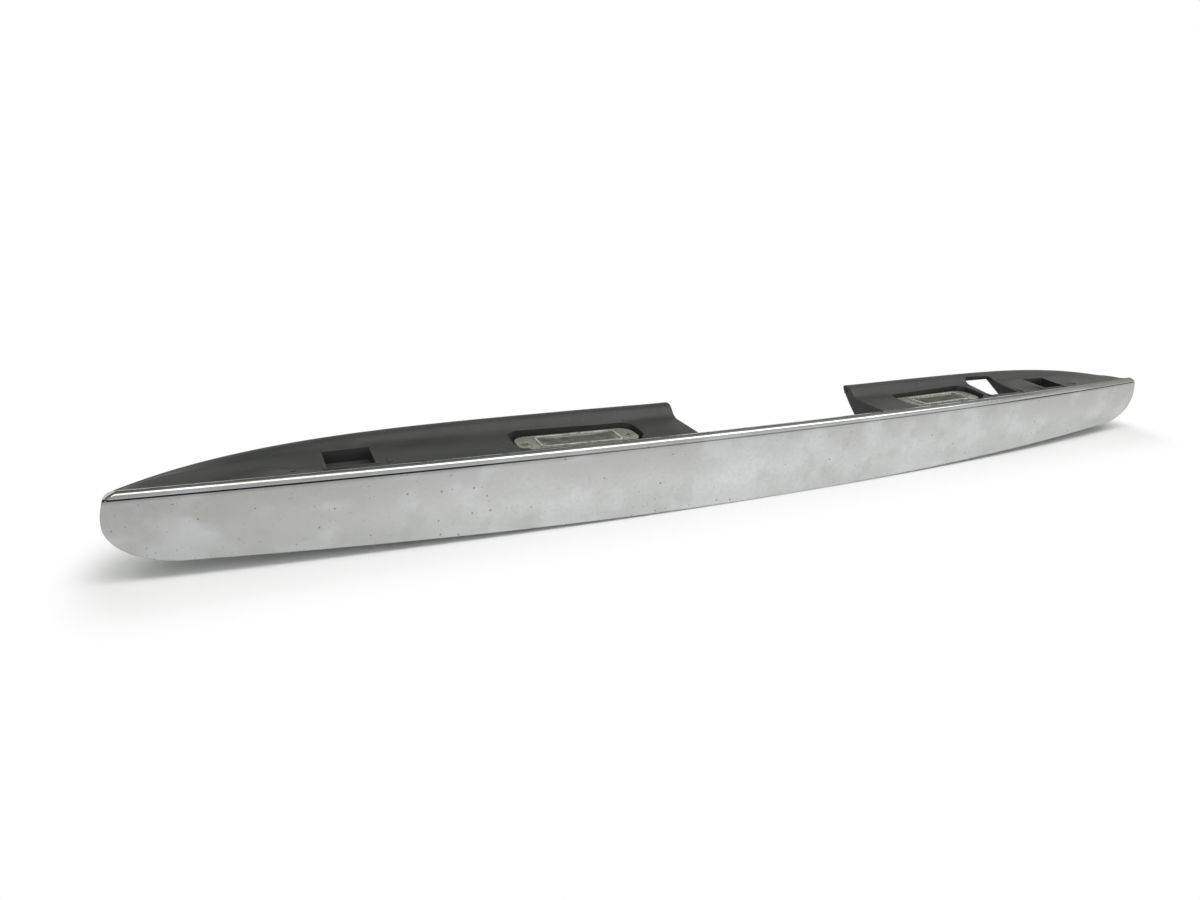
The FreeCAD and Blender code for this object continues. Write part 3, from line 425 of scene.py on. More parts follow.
def front_rows():
    """Rows of the shell's front from the bottom up, as (kind, value) pairs: a height at the tip on
    the face, a share of the groove's height, and an angle up round the roll."""
    low, high = corner_z, tip_lip + GROOVE_LOW
    first = math.asin(GROOVE_HIGH / LIP_RISE_TIP)
    return ([("face", low + (high - low) * (i / FACE_ROWS) ** FACE_CROWDING) for i in range(FACE_ROWS + 1)]
            + [("groove", 0.3), ("groove", 0.6)]
            + [("roll", first + (math.pi / 2 - first) * i / ROLL_ROWS) for i in range(ROLL_ROWS + 1)])


def front_point(kind, value, u):
    """Point of a row of the shell's front, with u from -1 at the left end to 1 at the right."""
    if kind == "face":
        x = u * end_x(value)
        bottom = arc_height(end_x(value), ARCH_RISE)
        top = tip_lip + GROOVE_LOW
        part = (value - bottom) / (top - bottom)
        z = arc_height(x, ARCH_RISE) * (1 - part) + (lip_line(x) + GROOVE_LOW) * part
        from_end, from_below = end_x(value) - abs(x), max(0.0, z - bottom_z(x))
        inward = from_end * from_below / max(math.hypot(from_end, from_below), 1e-9)
        y = bow(x) - CROWN * 4 * part * (1 - part) + turned_edge(inward, EDGE_ROUND)
        return Vector((x, y, z))
    if kind == "groove":
        rise = GROOVE_LOW + (GROOVE_HIGH - GROOVE_LOW) * value
        x = u * end_x(tip_lip + rise)
        y = bow(x) + GROOVE_DEPTH * math.sin(math.pi * value)
        y += turned_edge(end_x(tip_lip + rise) - abs(x), EDGE_ROUND + (ROLL_END - EDGE_ROUND) * value)
        return Vector((x, y, lip_line(x) + rise))
    length = end_x(tip_lip + LIP_RISE_TIP * math.sin(value))
    x = u * length
    r = roll_radius(x)
    y = bow(x) - OVERHANG + r * (1 - math.cos(value))
    y += turned_edge(length - abs(x), ROLL_END * math.cos(value))
    return Vector((x, y, lip_line(x) + r * math.sin(value)))


def back_of(point):
    """Y of the shell's back edge behind a point of its front."""
    r = roll_radius(point.x)
    rise = max(0.0, min(point.z - lip_line(point.x), r))
    return bow(point.x) - OVERHANG + r + math.sqrt(r * r - rise * rise)


def back_point(kind, value, u):
    point = front_point(kind, value, u)
    point.y = back_of(point)
    return point


def shaped_grid(target, rows, place):
    """Grid of rows by FACE_COLUMNS, which crowd towards the tips, with each vertex put where `place`
    says; the vertices of its last row."""
    made = bmesh.ops.create_grid(target, x_segments=FACE_COLUMNS, y_segments=len(rows) - 1, size=1.0)
    last = []
    for vert in made["verts"]:
        row = round((vert.co.y + 1) / 2 * (len(rows) - 1))
        if row == len(rows) - 1:
            last.append(vert)
        vert.co = place(*rows[row], math.sin(vert.co.x * math.pi / 2))
    return last


shell = bmesh.new()
rows = front_rows()
top = set(shaped_grid(shell, rows, front_point))
front_edge = [e for e in shell.edges if e.is_boundary]
shaped_grid(shell, [row for row in rows if row[0] != "face" or row[1] >= tip_lip - LEG], back_point)
# the front's edge is returned to the back, but for the roll's top, where front and back meet
rim = [e for e in front_edge if not top.issuperset(e.verts)]
extruded = bmesh.ops.extrude_edge_only(shell, edges=rim)
for vert in (v for v in extruded["geom"] if isinstance(v, bmesh.types.BMVert)):
    vert.co.y = back_of(vert.co)
bmesh.ops.remove_doubles(shell, verts=shell.verts, dist=2e-6)
bmesh.ops.recalc_face_normals(shell, faces=shell.faces)
# an open shell can come out either way round, and the middle of its front tells which
middle = min(shell.faces, key=lambda f: (f.calc_center_median() - Vector((0, FACE_Y, 0.02))).length)
if middle.normal.y > 0:
    bmesh.ops.reverse_faces(shell, faces=shell.faces)
# "groove" is how far a point lies in the crease, and "roll" how far up the roll
groove = shell.verts.layers.float.new("groove")
roll = shell.verts.layers.float.new("roll")
for vert in shell.verts:
    rise = vert.co.z - lip_line(vert.co.x)
    setback = vert.co.y - bow(vert.co.x)
    if GROOVE_LOW - GROOVE_MARGIN < rise < GROOVE_HIGH and setback < GROOVE_FRONT:
        vert[groove] = min(1.0, max(0.0, setback / GROOVE_DEPTH + GROOVE_SPREAD))
    vert[roll] = min(1.0, max(0.0, rise / roll_radius(vert.co.x)))
chrome_face = finished("chrome_face_shell", shell, 40.0)
wall = chrome_face.modifiers.new("wall", "SOLIDIFY")
wall.thickness = SHELL
wall.offset = -1.0
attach(chrome_face, "root")
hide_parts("chrome_face")

# painted reflection: the plating's colour is darkest at the left end, lightest in and past the
# middle, and darker again towards the right end, as the room it mirrors; each place is a share of
# the length, from the left
PLATING_AND_REFLECTION = ((0.0, (0.37, 0.37, 0.36)), (0.15, (0.46, 0.465, 0.455)), (0.24, (0.57, 0.58, 0.57)),
           (0.50, (0.61, 0.625, 0.62)), (0.70, (0.60, 0.615, 0.61)), (0.84, (0.50, 0.51, 0.49)),
           (1.0, (0.43, 0.43, 0.40)))
# painted reflection: the face is painted bluer towards its bottom and darker towards its top
REFLECTION_BLUER_Z = (0.040, 0.008)    # where it starts to be bluer, downwards, and where it is fully so
REFLECTION_DARKER_Z = (0.022, 0.043)   # the same for darker, upwards
CREASE_SHADE_LEFT_X = (-0.12, -0.21)    # where the crease's painted shade starts to thicken, outwards, and is full
CREASE_SHADE_RIGHT_X = (0.15, 0.22)
DUST_FILM_AND_SHADE_X = (0.14, 0.33)       # the same for the film of dust and painted shade on the roll

chrome, tree, shader = new_material("dusty_chrome")
axes = node(tree, "ShaderNodeSeparateXYZ", {0: node(tree, "ShaderNodeTexCoord").outputs["Object"]})
across_bar, height = axes.outputs["X"], axes.outputs["Z"]
plating_and_reflection = colour_ramp(tree, range_of(tree, across_bar, start=-HALF_LENGTH, end=HALF_LENGTH), PLATING_AND_REFLECTION)
# painted reflection: bluer towards the bottom, darker towards the top
low = range_of(tree, height, start=REFLECTION_BLUER_Z[0], end=REFLECTION_BLUER_Z[1])
plating_and_reflection = blend(tree, low, plating_and_reflection, (0.78, 0.81, 0.84), 0.14)
high = range_of(tree, height, start=REFLECTION_DARKER_Z[0], end=REFLECTION_DARKER_Z[1])
plating_and_reflection = blend(tree, high, plating_and_reflection, (0.33, 0.33, 0.315), 0.42)
haze = placed(tree, clouds, Cell=0.055, Level=0.49, Softness=0.14, Detail=5.0, Stretch=(1, 1, 1.5))
plating_and_reflection = blend(tree, haze, plating_and_reflection, (0.42, 0.415, 0.385), 0.28)
cool = placed(tree, clouds, Cell=0.034, Level=0.57, Softness=0.09, Detail=3.0, Stretch=(1, 2, 1.4))
plating_and_reflection = blend(tree, cool, plating_and_reflection, (0.80, 0.83, 0.88), 0.22)
smudge = placed(tree, clouds, Cell=0.021, Level=0.61, Softness=0.07, Detail=6.0)
plating_and_reflection = blend(tree, smudge, plating_and_reflection, (0.33, 0.325, 0.29), 0.22)
mottle = placed(tree, clouds, Cell=0.0022, Level=0.5, Softness=0.2, Detail=4.0)
plating_and_reflection = blend(tree, mottle, plating_and_reflection, (0.45, 0.445, 0.42), 0.20)
# coarse grit everywhere and fine grit in patches, with little of either on the roll
grit = placed(tree, specks, Cell=0.0085, Size=0.10, Share=0.40)
fine = placed(tree, specks, Cell=0.0032, Size=0.15, Share=0.36)
crowded = placed(tree, clouds, Cell=0.05, Level=0.47, Softness=0.15, Detail=2.0)
fine = maths(tree, "MULTIPLY", fine, range_of(tree, crowded, 0.2, 0.85))
up_roll = node(tree, "ShaderNodeAttribute", attribute_name="roll").outputs["Fac"]
on_roll = range_of(tree, up_roll, start=0.1, end=0.3)
marks = maths(tree, "MULTIPLY", maths(tree, "MAXIMUM", grit, fine), range_of(tree, on_roll, 1.0, 0.15))
plating_and_reflection = blend(tree, marks, plating_and_reflection, (0.14, 0.135, 0.115), 0.55)
# painted shade in the crease under the roll, thickest at the left and thinnest in the middle
crease_shade = node(tree, "ShaderNodeAttribute", attribute_name="groove").outputs["Fac"]
left = range_of(tree, across_bar, 0.30, 1.0, *CREASE_SHADE_LEFT_X)
right = range_of(tree, across_bar, 0.0, 0.85, *CREASE_SHADE_RIGHT_X)
crease_shade = maths(tree, "MULTIPLY", crease_shade, maths(tree, "MAXIMUM", left, right))
plating_and_reflection = blend(tree, crease_shade, plating_and_reflection, (0.025, 0.029, 0.042))
# a film of road dust, and painted shade for the dark room the roll mirrors there, dulls the roll
# towards its right end and comes farther down there
dust_film_and_shade = range_of(tree, across_bar, start=DUST_FILM_AND_SHADE_X[0], end=DUST_FILM_AND_SHADE_X[1], smooth=True)
dust_film_and_shade_foot = range_of(tree, dust_film_and_shade, 0.95, 0.30)
dust_film_and_shade = maths(tree, "MULTIPLY", dust_film_and_shade, range_of(tree, up_roll, start=dust_film_and_shade_foot,
                                              end=maths(tree, "ADD", dust_film_and_shade_foot, 0.2)))
plating_and_reflection = blend(tree, dust_film_and_shade, plating_and_reflection, (0.25, 0.24, 0.205), 0.80)
tree.links.new(plating_and_reflection, shader.inputs["Base Color"])
shader.inputs["Metallic"].default_value = 1.0
rough = maths(tree, "MAXIMUM", range_of(tree, haze, 0.10, 0.20),
              range_of(tree, maths(tree, "MAXIMUM", marks, dust_film_and_shade), 0.0, 0.55))
tree.links.new(rough, shader.inputs["Roughness"])
tree.links.new(bump(tree, maths(tree, "SUBTRACT", 1.0, marks), 0.25, 0.00012), shader.inputs["Normal"])
chrome_face.data.materials.append(chrome)


# ================================================================ pegs of the face
# Eight pegs are moulded on behind the face for push-on washers.  Each has a filleted foot and a
# chamfered tip, and is plated with the face.
PEG_X = (0.040, 0.130, 0.206, 0.272)
PEG_DROP = 0.0126           # below the lip line
PEG_RADIUS = 0.0020
PEG_FOOT = 0.0018           # from the face to the foot, and to the tip
PEG_REACH = 0.0088
PEG_FLARE = 0.0008          # the foot is this much wider,
PEG_FILLET = 0.0010         # and narrows over this length
PEG_CHAMFER = 0.0006


def lathe(target, outline, steps=32):
    """Turns an outline of (radius, height) pairs about Z; its new vertices."""
    old = set(target.verts)
    line = [target.verts.new((radius, 0, height)) for radius, height in outline]
    edges = [target.edges.new(pair) for pair in zip(line, line[1:])]
    bmesh.ops.spin(target, geom=line + edges, cent=(0, 0, 0), axis=(0, 0, 1), steps=steps,
                   angle=2 * math.pi, use_merge=True)
    new = [v for v in target.verts if v not in old]
    bmesh.ops.remove_doubles(target, verts=new, dist=1e-6)
    return [v for v in target.verts if v not in old]


def stand(target, verts, place, direction):
    """Moves vertices drawn about Z to a place, with Z turned to a direction."""
    turn = Vector(direction).to_track_quat("Z", "X").to_matrix().to_4x4()
    bmesh.ops.transform(target, verts=verts, matrix=Matrix.Translation(place) @ turn)


pegs = bmesh.new()
for x in PEG_X:
    for side in (-1, 1):
        verts = lathe(pegs, [
            (PEG_RADIUS + PEG_FLARE, PEG_FOOT), (PEG_RADIUS + 0.0003, PEG_FOOT + 0.0004),
            (PEG_RADIUS, PEG_FOOT + PEG_FILLET), (PEG_RADIUS, PEG_REACH - PEG_CHAMFER),
            (PEG_RADIUS - PEG_CHAMFER, PEG_REACH), (0, PEG_REACH)], 20)
        stand(pegs, verts, (side * x, bow(x), lip_line(x) - PEG_DROP), (0, 1, 0))
bmesh.ops.recalc_face_normals(pegs, faces=pegs.faces)
peg_piece = finished("chrome_face_pegs", pegs, 30.0)
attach(peg_piece, "root")
peg_piece.data.materials.append(chrome)


# ================================================================ inner moulding
# Black ABS moulding, fine-grained and satin: two shelves with an upswept back edge, a wall
# behind the chrome, ribs, lamp pans, pockets and the pads for the studs and clips.
EDGE_SOFTNESS = 0.0004
FLAT = 1.0                  # degrees: faces that meet flatter than this are joined
BESIDE_ROLL = (0.0016, 0.002)   # behind the roll, and below the lip line
LOOKS_UP_START = 0.15            # share of a face's normal that looks up
LOOKS_UP_FULL = 0.70


def merged_copy(name, new_name, softness, smooth_angle=30.0, kept_sharp=None, shape=None):
    """Copy of a CAD node with its triangles merged, its flats joined and its edges softened.
    kept_sharp tells an edge that isn't softened; shape gets the mesh to work on it further."""
    copy = bmesh.new()
    copy.from_mesh(frame["nodes"][name].data)
    bmesh.ops.remove_doubles(copy, verts=copy.verts, dist=1e-6)
    bmesh.ops.dissolve_limit(copy, angle_limit=math.radians(FLAT), verts=copy.verts, edges=copy.edges)
    if shape:
        shape(copy)
    if kept_sharp:
        weight = copy.edges.layers.float.new("bevel_weight_edge")
        for e in copy.edges:
            turned = len(e.link_faces) == 2 and e.calc_face_angle() > math.radians(smooth_angle)
            e[weight] = 1.0 if turned and not kept_sharp(e) else 0.0
    made = finished(new_name, copy, smooth_angle)
    edge = made.modifiers.new("soft_edges", "BEVEL")
    edge.width = softness
    edge.segments = 2
    edge.limit_method = "WEIGHT" if kept_sharp else "ANGLE"
    edge.angle_limit = math.radians(smooth_angle)
    edge.harden_normals = True
    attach(made, "root")
    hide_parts(name)
    return made


def beside_roll(edge):
    """Whether an edge lies along the roll, and so stays sharp."""
    return all(v.co.y < lip_back(v.co.x) + BESIDE_ROLL[0] and v.co.z > lip_line(v.co.x) - BESIDE_ROLL[1]
               for v in edge.verts)


def mark_looks_up(mesh_builder):
    """Marks how far each face looks up; the material paints the faces that don't darker as shade."""
    layer = mesh_builder.loops.layers.float_color.new("looks_up")
    for face in mesh_builder.faces:
        up = min(1.0, max(0.0, (face.normal.z - LOOKS_UP_START) / (LOOKS_UP_FULL - LOOKS_UP_START)))
        for loop in face.loops:
            loop[layer] = (up, up, up, 1)


moulding = merged_copy("inner_moulding", "inner_moulding_shelf", EDGE_SOFTNESS, kept_sharp=beside_roll,
                       shape=mark_looks_up)

black_abs, tree, shader = new_material("grained_black_abs")
haze = placed(tree, clouds, Cell=0.05, Level=0.5, Softness=0.25, Detail=3.0)
black = blend(tree, haze, (0.040, 0.042, 0.041), (0.056, 0.057, 0.053))
# painted shade: the faces that don't look up, such as the walls of the recesses and pockets, are painted
# nearly black
looks_up = node(tree, "ShaderNodeAttribute", attribute_name="looks_up").outputs["Fac"]
black = blend(tree, maths(tree, "SUBTRACT", 1.0, looks_up), black, (0.012, 0.013, 0.012), 0.80)
smear = placed(tree, clouds, Cell=0.03, Level=0.62, Softness=0.12, Detail=4.0, Stretch=(1, 1.6, 1))
black = blend(tree, maths(tree, "MULTIPLY", smear, 0.55), black, (0.028, 0.030, 0.028))
dust = placed(tree, specks, Cell=0.0045, Size=0.09, Share=0.16)
black = blend(tree, maths(tree, "MULTIPLY", dust, 0.7), black, (0.19, 0.19, 0.17))
tree.links.new(black, shader.inputs["Base Color"])
tree.links.new(range_of(tree, haze, 0.42, 0.58), shader.inputs["Roughness"])
shader.inputs["Specular IOR Level"].default_value = 0.45
tree.links.new(bump(tree, placed(tree, grain, Cell=0.0007, Detail=3.0), 0.25, 0.0002),
               shader.inputs["Normal"])
moulding.data.materials.clear()
moulding.data.materials.append(black_abs)


# ================================================================ lamp lenses
# Smoky clear plastic plates with a raised window that has a bright rim and prisms inside.
LAMP_X = 0.1455
LAMP_BACK = 0.0199          # behind the face
LAMP_RISE = 0.0019          # of the plate's top, above the lip line
LENS_SOFTNESS = 0.00025
WINDOW = (0.050, 0.017)
WINDOW_SHIFT = 0.0004       # of the window, backwards on the plate
WINDOW_CORNER = 0.003
RIM_WIDTH = 0.0011
RIM_FOOT = -0.0003          # heights from the plate's top
RIM_TOP = 0.0011
RIM_SOFTNESS = 0.0003
SHEET_TOP = 0.00055
SHEET_THICK = 0.0006
PRISM_PITCH = 0.0015
PRISM_RADIUS = PRISM_PITCH * 0.36
PRISM_FLATNESS = 0.7
PRISM_LENGTHS = (0.46, 0.58)    # in depths of the window, by turns
PRISM_SHIFT = -0.0008
STRAKES = 3                 # long ribs behind the prisms
STRAKE_RADIUS = 0.00035
STRAKE_PITCH = 0.0011
STRAKE_BACK = 0.0066        # of the hindmost, from the window's middle
STRAKE_STEP = 0.001         # each is this much farther outboard
lamp_turn = math.asin(LAMP_X / ((HALF_LENGTH ** 2 + BOW ** 2) / (2 * BOW)))


def lamp_frame(side):
    """Places a lamp's piece, drawn about its centre with +X outboard; the left one is mirrored."""
    place = (Matrix.Translation((LAMP_X, bow(LAMP_X) + LAMP_BACK, lip_line(LAMP_X) + LAMP_RISE))
             @ Matrix.Rotation(lamp_turn, 4, "Z"))
    return place if side > 0 else Matrix.Scale(-1, 4, (1, 0, 0)) @ place


smoky, tree, shader = new_material("smoky_lens")
haze = placed(tree, clouds, Cell=0.006, Level=0.5, Softness=0.3, Detail=4.0)
tint = blend(tree, haze, (0.30, 0.30, 0.255), (0.42, 0.415, 0.36))
grime = placed(tree, clouds, Cell=0.0022, Level=0.60, Softness=0.12, Detail=5.0)
tint = blend(tree, maths(tree, "MULTIPLY", grime, 0.5), tint, (0.13, 0.125, 0.095))
tree.links.new(tint, shader.inputs["Base Color"])
tree.links.new(range_of(tree, grime, 0.22, 0.5), shader.inputs["Roughness"])
shader.inputs["Transmission Weight"].default_value = 0.25

frosted, tree, shader = new_material("frosted_lens_rim")
haze = placed(tree, clouds, Cell=0.004, Level=0.5, Softness=0.2, Detail=4.0)
tree.links.new(blend(tree, haze, (0.34, 0.34, 0.30), (0.72, 0.72, 0.66)), shader.inputs["Base Color"])
tree.links.new(range_of(tree, haze, 0.22, 0.42), shader.inputs["Roughness"])
shader.inputs["Transmission Weight"].default_value = 0.1

prismatic, tree, shader = new_material("prism_lens")
haze = placed(tree, clouds, Cell=0.005, Level=0.5, Softness=0.2, Detail=4.0)
tree.links.new(blend(tree, haze, (0.12, 0.12, 0.098), (0.20, 0.20, 0.165)), shader.inputs["Base Color"])
tree.links.new(range_of(tree, haze, 0.10, 0.22), shader.inputs["Roughness"])
shader.inputs["Transmission Weight"].default_value = 0.2

for side, side_name in ((-1, "left"), (1, "right")):
    lens = merged_copy(side_name + "_lamp_lens", side_name + "_lens_plate", LENS_SOFTNESS)
    lens.data.materials.clear()
    lens.data.materials.append(smoky)

    # a rounded frame, cut from a sheet and raised
    rim_ring = bmesh.new()
    bmesh.ops.create_grid(rim_ring, x_segments=1, y_segments=1, size=0.5)
    bmesh.ops.scale(rim_ring, verts=rim_ring.verts, vec=(*WINDOW, 1))
    bmesh.ops.bevel(rim_ring, geom=rim_ring.verts[:], offset=WINDOW_CORNER, segments=6, profile=0.5,
                    affect="VERTICES", material=-1)
    bmesh.ops.inset_region(rim_ring, faces=rim_ring.faces[:], thickness=RIM_WIDTH,
                           use_boundary=True, use_even_offset=True)
    panel = max(rim_ring.faces, key=lambda f: f.calc_area())
    bmesh.ops.delete(rim_ring, geom=[panel], context="FACES_ONLY")
    walls = bmesh.ops.extrude_face_region(rim_ring, geom=rim_ring.faces[:])
    bmesh.ops.translate(rim_ring, vec=(0, 0, RIM_TOP - RIM_FOOT),
                        verts=[v for v in walls["geom"] if isinstance(v, bmesh.types.BMVert)])
    bmesh.ops.translate(rim_ring, verts=rim_ring.verts, vec=(0, WINDOW_SHIFT, RIM_FOOT))
    bmesh.ops.transform(rim_ring, matrix=lamp_frame(side), verts=rim_ring.verts)
    bmesh.ops.recalc_face_normals(rim_ring, faces=rim_ring.faces)
    rim_piece = finished(side_name + "_lens_rim", rim_ring, 30.0)
    edge = rim_piece.modifiers.new("soft_edges", "BEVEL")
    edge.width, edge.segments, edge.limit_method = RIM_SOFTNESS, 2, "ANGLE"
    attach(rim_piece, "root")
    rim_piece.data.materials.append(frosted)

    # ribs across the window, long and short by turns, and long ones behind them, on a thin sheet
    prisms = bmesh.new()
    sheet = [extent - 2 * RIM_WIDTH for extent in WINDOW]
    bmesh.ops.create_cube(prisms, size=1.0)
    bmesh.ops.transform(prisms, verts=prisms.verts,
                        matrix=Matrix.Translation((0, WINDOW_SHIFT, SHEET_TOP - SHEET_THICK / 2))
                        @ Matrix.Diagonal((*sheet, SHEET_THICK, 1)))
    count = int((WINDOW[0] - 6 * RIM_WIDTH) / PRISM_PITCH)
    for i in range(count):
        rib = bmesh.ops.create_cone(prisms, cap_ends=True, segments=4, radius1=PRISM_RADIUS,
                                    radius2=PRISM_RADIUS, depth=WINDOW[1] * PRISM_LENGTHS[i % 2])
        place = ((i - (count - 1) / 2) * PRISM_PITCH, WINDOW_SHIFT + PRISM_SHIFT, SHEET_TOP)
        bmesh.ops.transform(prisms, verts=rib["verts"], matrix=Matrix.Translation(place)
                            @ Matrix.Diagonal((1.0, 1.0, PRISM_FLATNESS, 1.0))
                            @ Matrix.Rotation(math.pi / 2, 4, "X"))
    for i in range(STRAKES):
        strake = bmesh.ops.create_cone(prisms, cap_ends=True, segments=4, radius1=STRAKE_RADIUS,
                                       radius2=STRAKE_RADIUS, depth=WINDOW[0] * (0.84 - 0.12 * i))
        place = (STRAKE_STEP * i, WINDOW_SHIFT + STRAKE_BACK - STRAKE_PITCH * i, SHEET_TOP)
        bmesh.ops.transform(prisms, verts=strake["verts"],
                            matrix=Matrix.Translation(place) @ Matrix.Rotation(math.pi / 2, 4, "Y"))
    bmesh.ops.transform(prisms, matrix=lamp_frame(side), verts=prisms.verts)
    bmesh.ops.recalc_face_normals(prisms, faces=prisms.faces)
    prism_piece = finished(side_name + "_lens_prisms", prisms, 20.0)
    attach(prism_piece, "root")
    prism_piece.data.materials.append(prismatic)


# ================================================================ screws and finishes of the lamps
# Cross-head screws hold each lens and its bulb housing in the moulding's pan.  Under the lens
# sit a rubber gasket, a nylon housing with brass contacts, a tin reflector and a festoon bulb.
def simple(name, first, second, cell, metallic, rough, grain_cell, bump_depth):
    """Finish of two colours in clouds, a range of roughness and a grain; its material."""
    material, tree, shader = new_material(name)
    mask = placed(tree, clouds, Cell=cell, Level=0.5, Softness=0.2, Detail=5.0)
    tree.links.new(blend(tree, mask, first, second), shader.inputs["Base Color"])
    shader.inputs["Metallic"].default_value = metallic
    tree.links.new(range_of(tree, mask, *rough), shader.inputs["Roughness"])
    tree.links.new(bump(tree, placed(tree, grain, Cell=grain_cell), 0.4, bump_depth),
                   shader.inputs["Normal"])
    return material


def assign(material, *names):
    """Gives CAD nodes a material."""
    for name in names:
        frame["nodes"][name].material_slots[0].material = material


assign(simple("dusty_zinc_screw", (0.20, 0.195, 0.165), (0.48, 0.47, 0.41), 0.0020, 0.45, (0.35, 0.55),
              0.0004, 0.00005), "lamp_screws")
assign(simple("gasket_rubber", (0.022, 0.022, 0.022), (0.04, 0.04, 0.038), 0.004, 0.0, (0.7, 0.85),
              0.0005, 0.0001), "left_lamp_gasket", "right_lamp_gasket")
assign(simple("lamp_housing_nylon", (0.42, 0.41, 0.38), (0.52, 0.51, 0.47), 0.006, 0.0, (0.4, 0.55),
              0.0008, 0.00008), "left_lamp_housing", "right_lamp_housing")
assign(simple("contact_brass", (0.60, 0.43, 0.16), (0.72, 0.55, 0.26), 0.002, 1.0, (0.2, 0.4),
              0.0006, 0.00002), "bulb_contacts")
assign(simple("bulb_cap_nickel", (0.58, 0.56, 0.50), (0.70, 0.68, 0.62), 0.002, 1.0, (0.18, 0.35),
              0.0006, 0.00002), "bulb_caps")
assign(simple("bright_tin", (0.70, 0.70, 0.68), (0.80, 0.80, 0.78), 0.004, 1.0, (0.12, 0.25),
              0.001, 0.00002), "lamp_reflectors")
assign(simple("tungsten_wire", (0.20, 0.20, 0.21), (0.28, 0.28, 0.29), 0.001, 1.0, (0.35, 0.5),
              0.0003, 0.00002), "bulb_filaments")
glass = simple("bulb_glass", (0.93, 0.94, 0.93), (0.97, 0.97, 0.96), 0.006, 0.0, (0.02, 0.06),
               0.004, 0.00001)
shader = glass.node_tree.nodes["Principled BSDF"]
shader.inputs["Transmission Weight"].default_value = 1.0
shader.inputs["IOR"].default_value = 1.5
assign(glass, "left_bulb_glass", "right_bulb_glass")


# ================================================================ mounting studs
# Zinc-plated M6 studs: a flange behind the moulding's pad, a plain shoulder in it and a rolled
# thread that a nut pulls up against the boot lid.
STUD_RADIUS = 0.0030
STUD_ROOT = 0.00247         # of the thread
STUD_WALL = 0.00003         # the shank stands this far out of the thread's root
STUD_PITCH = 0.0010
STUD_END = 0.0008           # tapered end, past the mount's length
SHOULDER_RADIUS = 0.0037
SHOULDER = 0.00525
FLANGE_RADIUS = 0.0049
FLANGE_THICK = 0.0012
CHAMFER = 0.0003            # of the shoulder and the flange's foot; the thread starts as far up
FLANGE_TOP_CHAMFER = 0.0002
THREAD_CREST = (0.42, 0.58)     # in pitches
THREAD_STEPS = 20           # in a turn

studs = bmesh.new()
for mount in frame["record"]["mounts"]:
    axis = Vector(mount["axis"])
    length = mount["dims"]["length_mm"] / 1000
    reach = length + STUD_END
    foot = -SHOULDER - FLANGE_THICK
    shank = STUD_ROOT + STUD_WALL
    verts = lathe(studs, [
        (0, foot), (FLANGE_RADIUS - CHAMFER, foot), (FLANGE_RADIUS, foot + CHAMFER),
        (FLANGE_RADIUS, -SHOULDER - FLANGE_TOP_CHAMFER), (FLANGE_RADIUS - FLANGE_TOP_CHAMFER, -SHOULDER),
        (SHOULDER_RADIUS, -SHOULDER), (SHOULDER_RADIUS, -CHAMFER), (SHOULDER_RADIUS - CHAMFER, 0),
        (shank, 0), (shank, length), (STUD_ROOT - STUD_END, reach), (0, reach)])
    # the thread is a ridge that climbs as it turns
    turns = int(length / STUD_PITCH) - 1
    ridge = [studs.verts.new((radius, 0, CHAMFER + pitches * STUD_PITCH)) for radius, pitches in (
        (STUD_ROOT, 0), (STUD_RADIUS, THREAD_CREST[0]), (STUD_RADIUS, THREAD_CREST[1]), (STUD_ROOT, 1))]
    edges = [studs.edges.new(pair) for pair in zip(ridge, ridge[1:])]
    old = set(studs.verts) - set(ridge)
    bmesh.ops.spin(studs, geom=ridge + edges, cent=(0, 0, 0), axis=(0, 0, 1), steps=THREAD_STEPS * turns,
                   angle=2 * math.pi * turns, dvec=(0, 0, STUD_PITCH / THREAD_STEPS))
    thread = [v for v in studs.verts if v not in old]
    # a mount's place is the middle of its length
    stand(studs, verts + thread, Vector(mount["pos_m"]) - axis * length / 2, axis)
bmesh.ops.remove_doubles(studs, verts=studs.verts, dist=2e-6)
bmesh.ops.recalc_face_normals(studs, faces=studs.faces)
stud_piece = finished("threaded_studs", studs, 35.0)
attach(stud_piece, "root")
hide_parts("mounting_studs")
stud_piece.data.materials.append(
    simple("zinc_plated_steel", (0.50, 0.49, 0.44), (0.68, 0.67, 0.60), 0.004, 1.0, (0.22, 0.42),
           0.0008, 0.00003))


# ================================================================ push clips
# Natural nylon fir-tree clips near the ends: a domed head on the pad, a shank and three
# hollow-backed barbs that snap into a hole in the boot lid.
clip_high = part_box("push_clips")[1]
CLIP_AXIS = Vector(frame["record"]["mounts"][0]["axis"])    # as the studs
CLIP_HEAD_RADIUS = 0.0070
CLIP_HEAD_LOW = 0.00005     # the head's flat side, on the pad
CLIP_SHANK = 0.0026
CLIP_NECK = CLIP_SHANK * 0.86   # between the barbs
CLIP_HOLLOW = CLIP_SHANK * 0.80     # behind a barb
CLIP_STUB = -0.0025         # the shank starts in the pad's hole
CLIP_BARB = 0.0039
CLIP_BARBS = (0.0040, 0.0076, 0.0112)   # where each starts
CLIP_REACH = 0.0140
CLIP_SETBACK = 0.01104      # of the head, from the clips' hindmost point
CLIP_HEIGHT = 0.029
CLIP_HEAD = [
    (CLIP_HEAD_RADIUS - 0.0002, CLIP_HEAD_LOW), (CLIP_HEAD_RADIUS, 0.0004),
    (CLIP_HEAD_RADIUS - 0.0003, 0.0010), (CLIP_HEAD_RADIUS - 0.0022, 0.00150),
    (CLIP_SHANK + 0.0006, 0.00165), (CLIP_NECK, 0.0022)]
clips = bmesh.new()
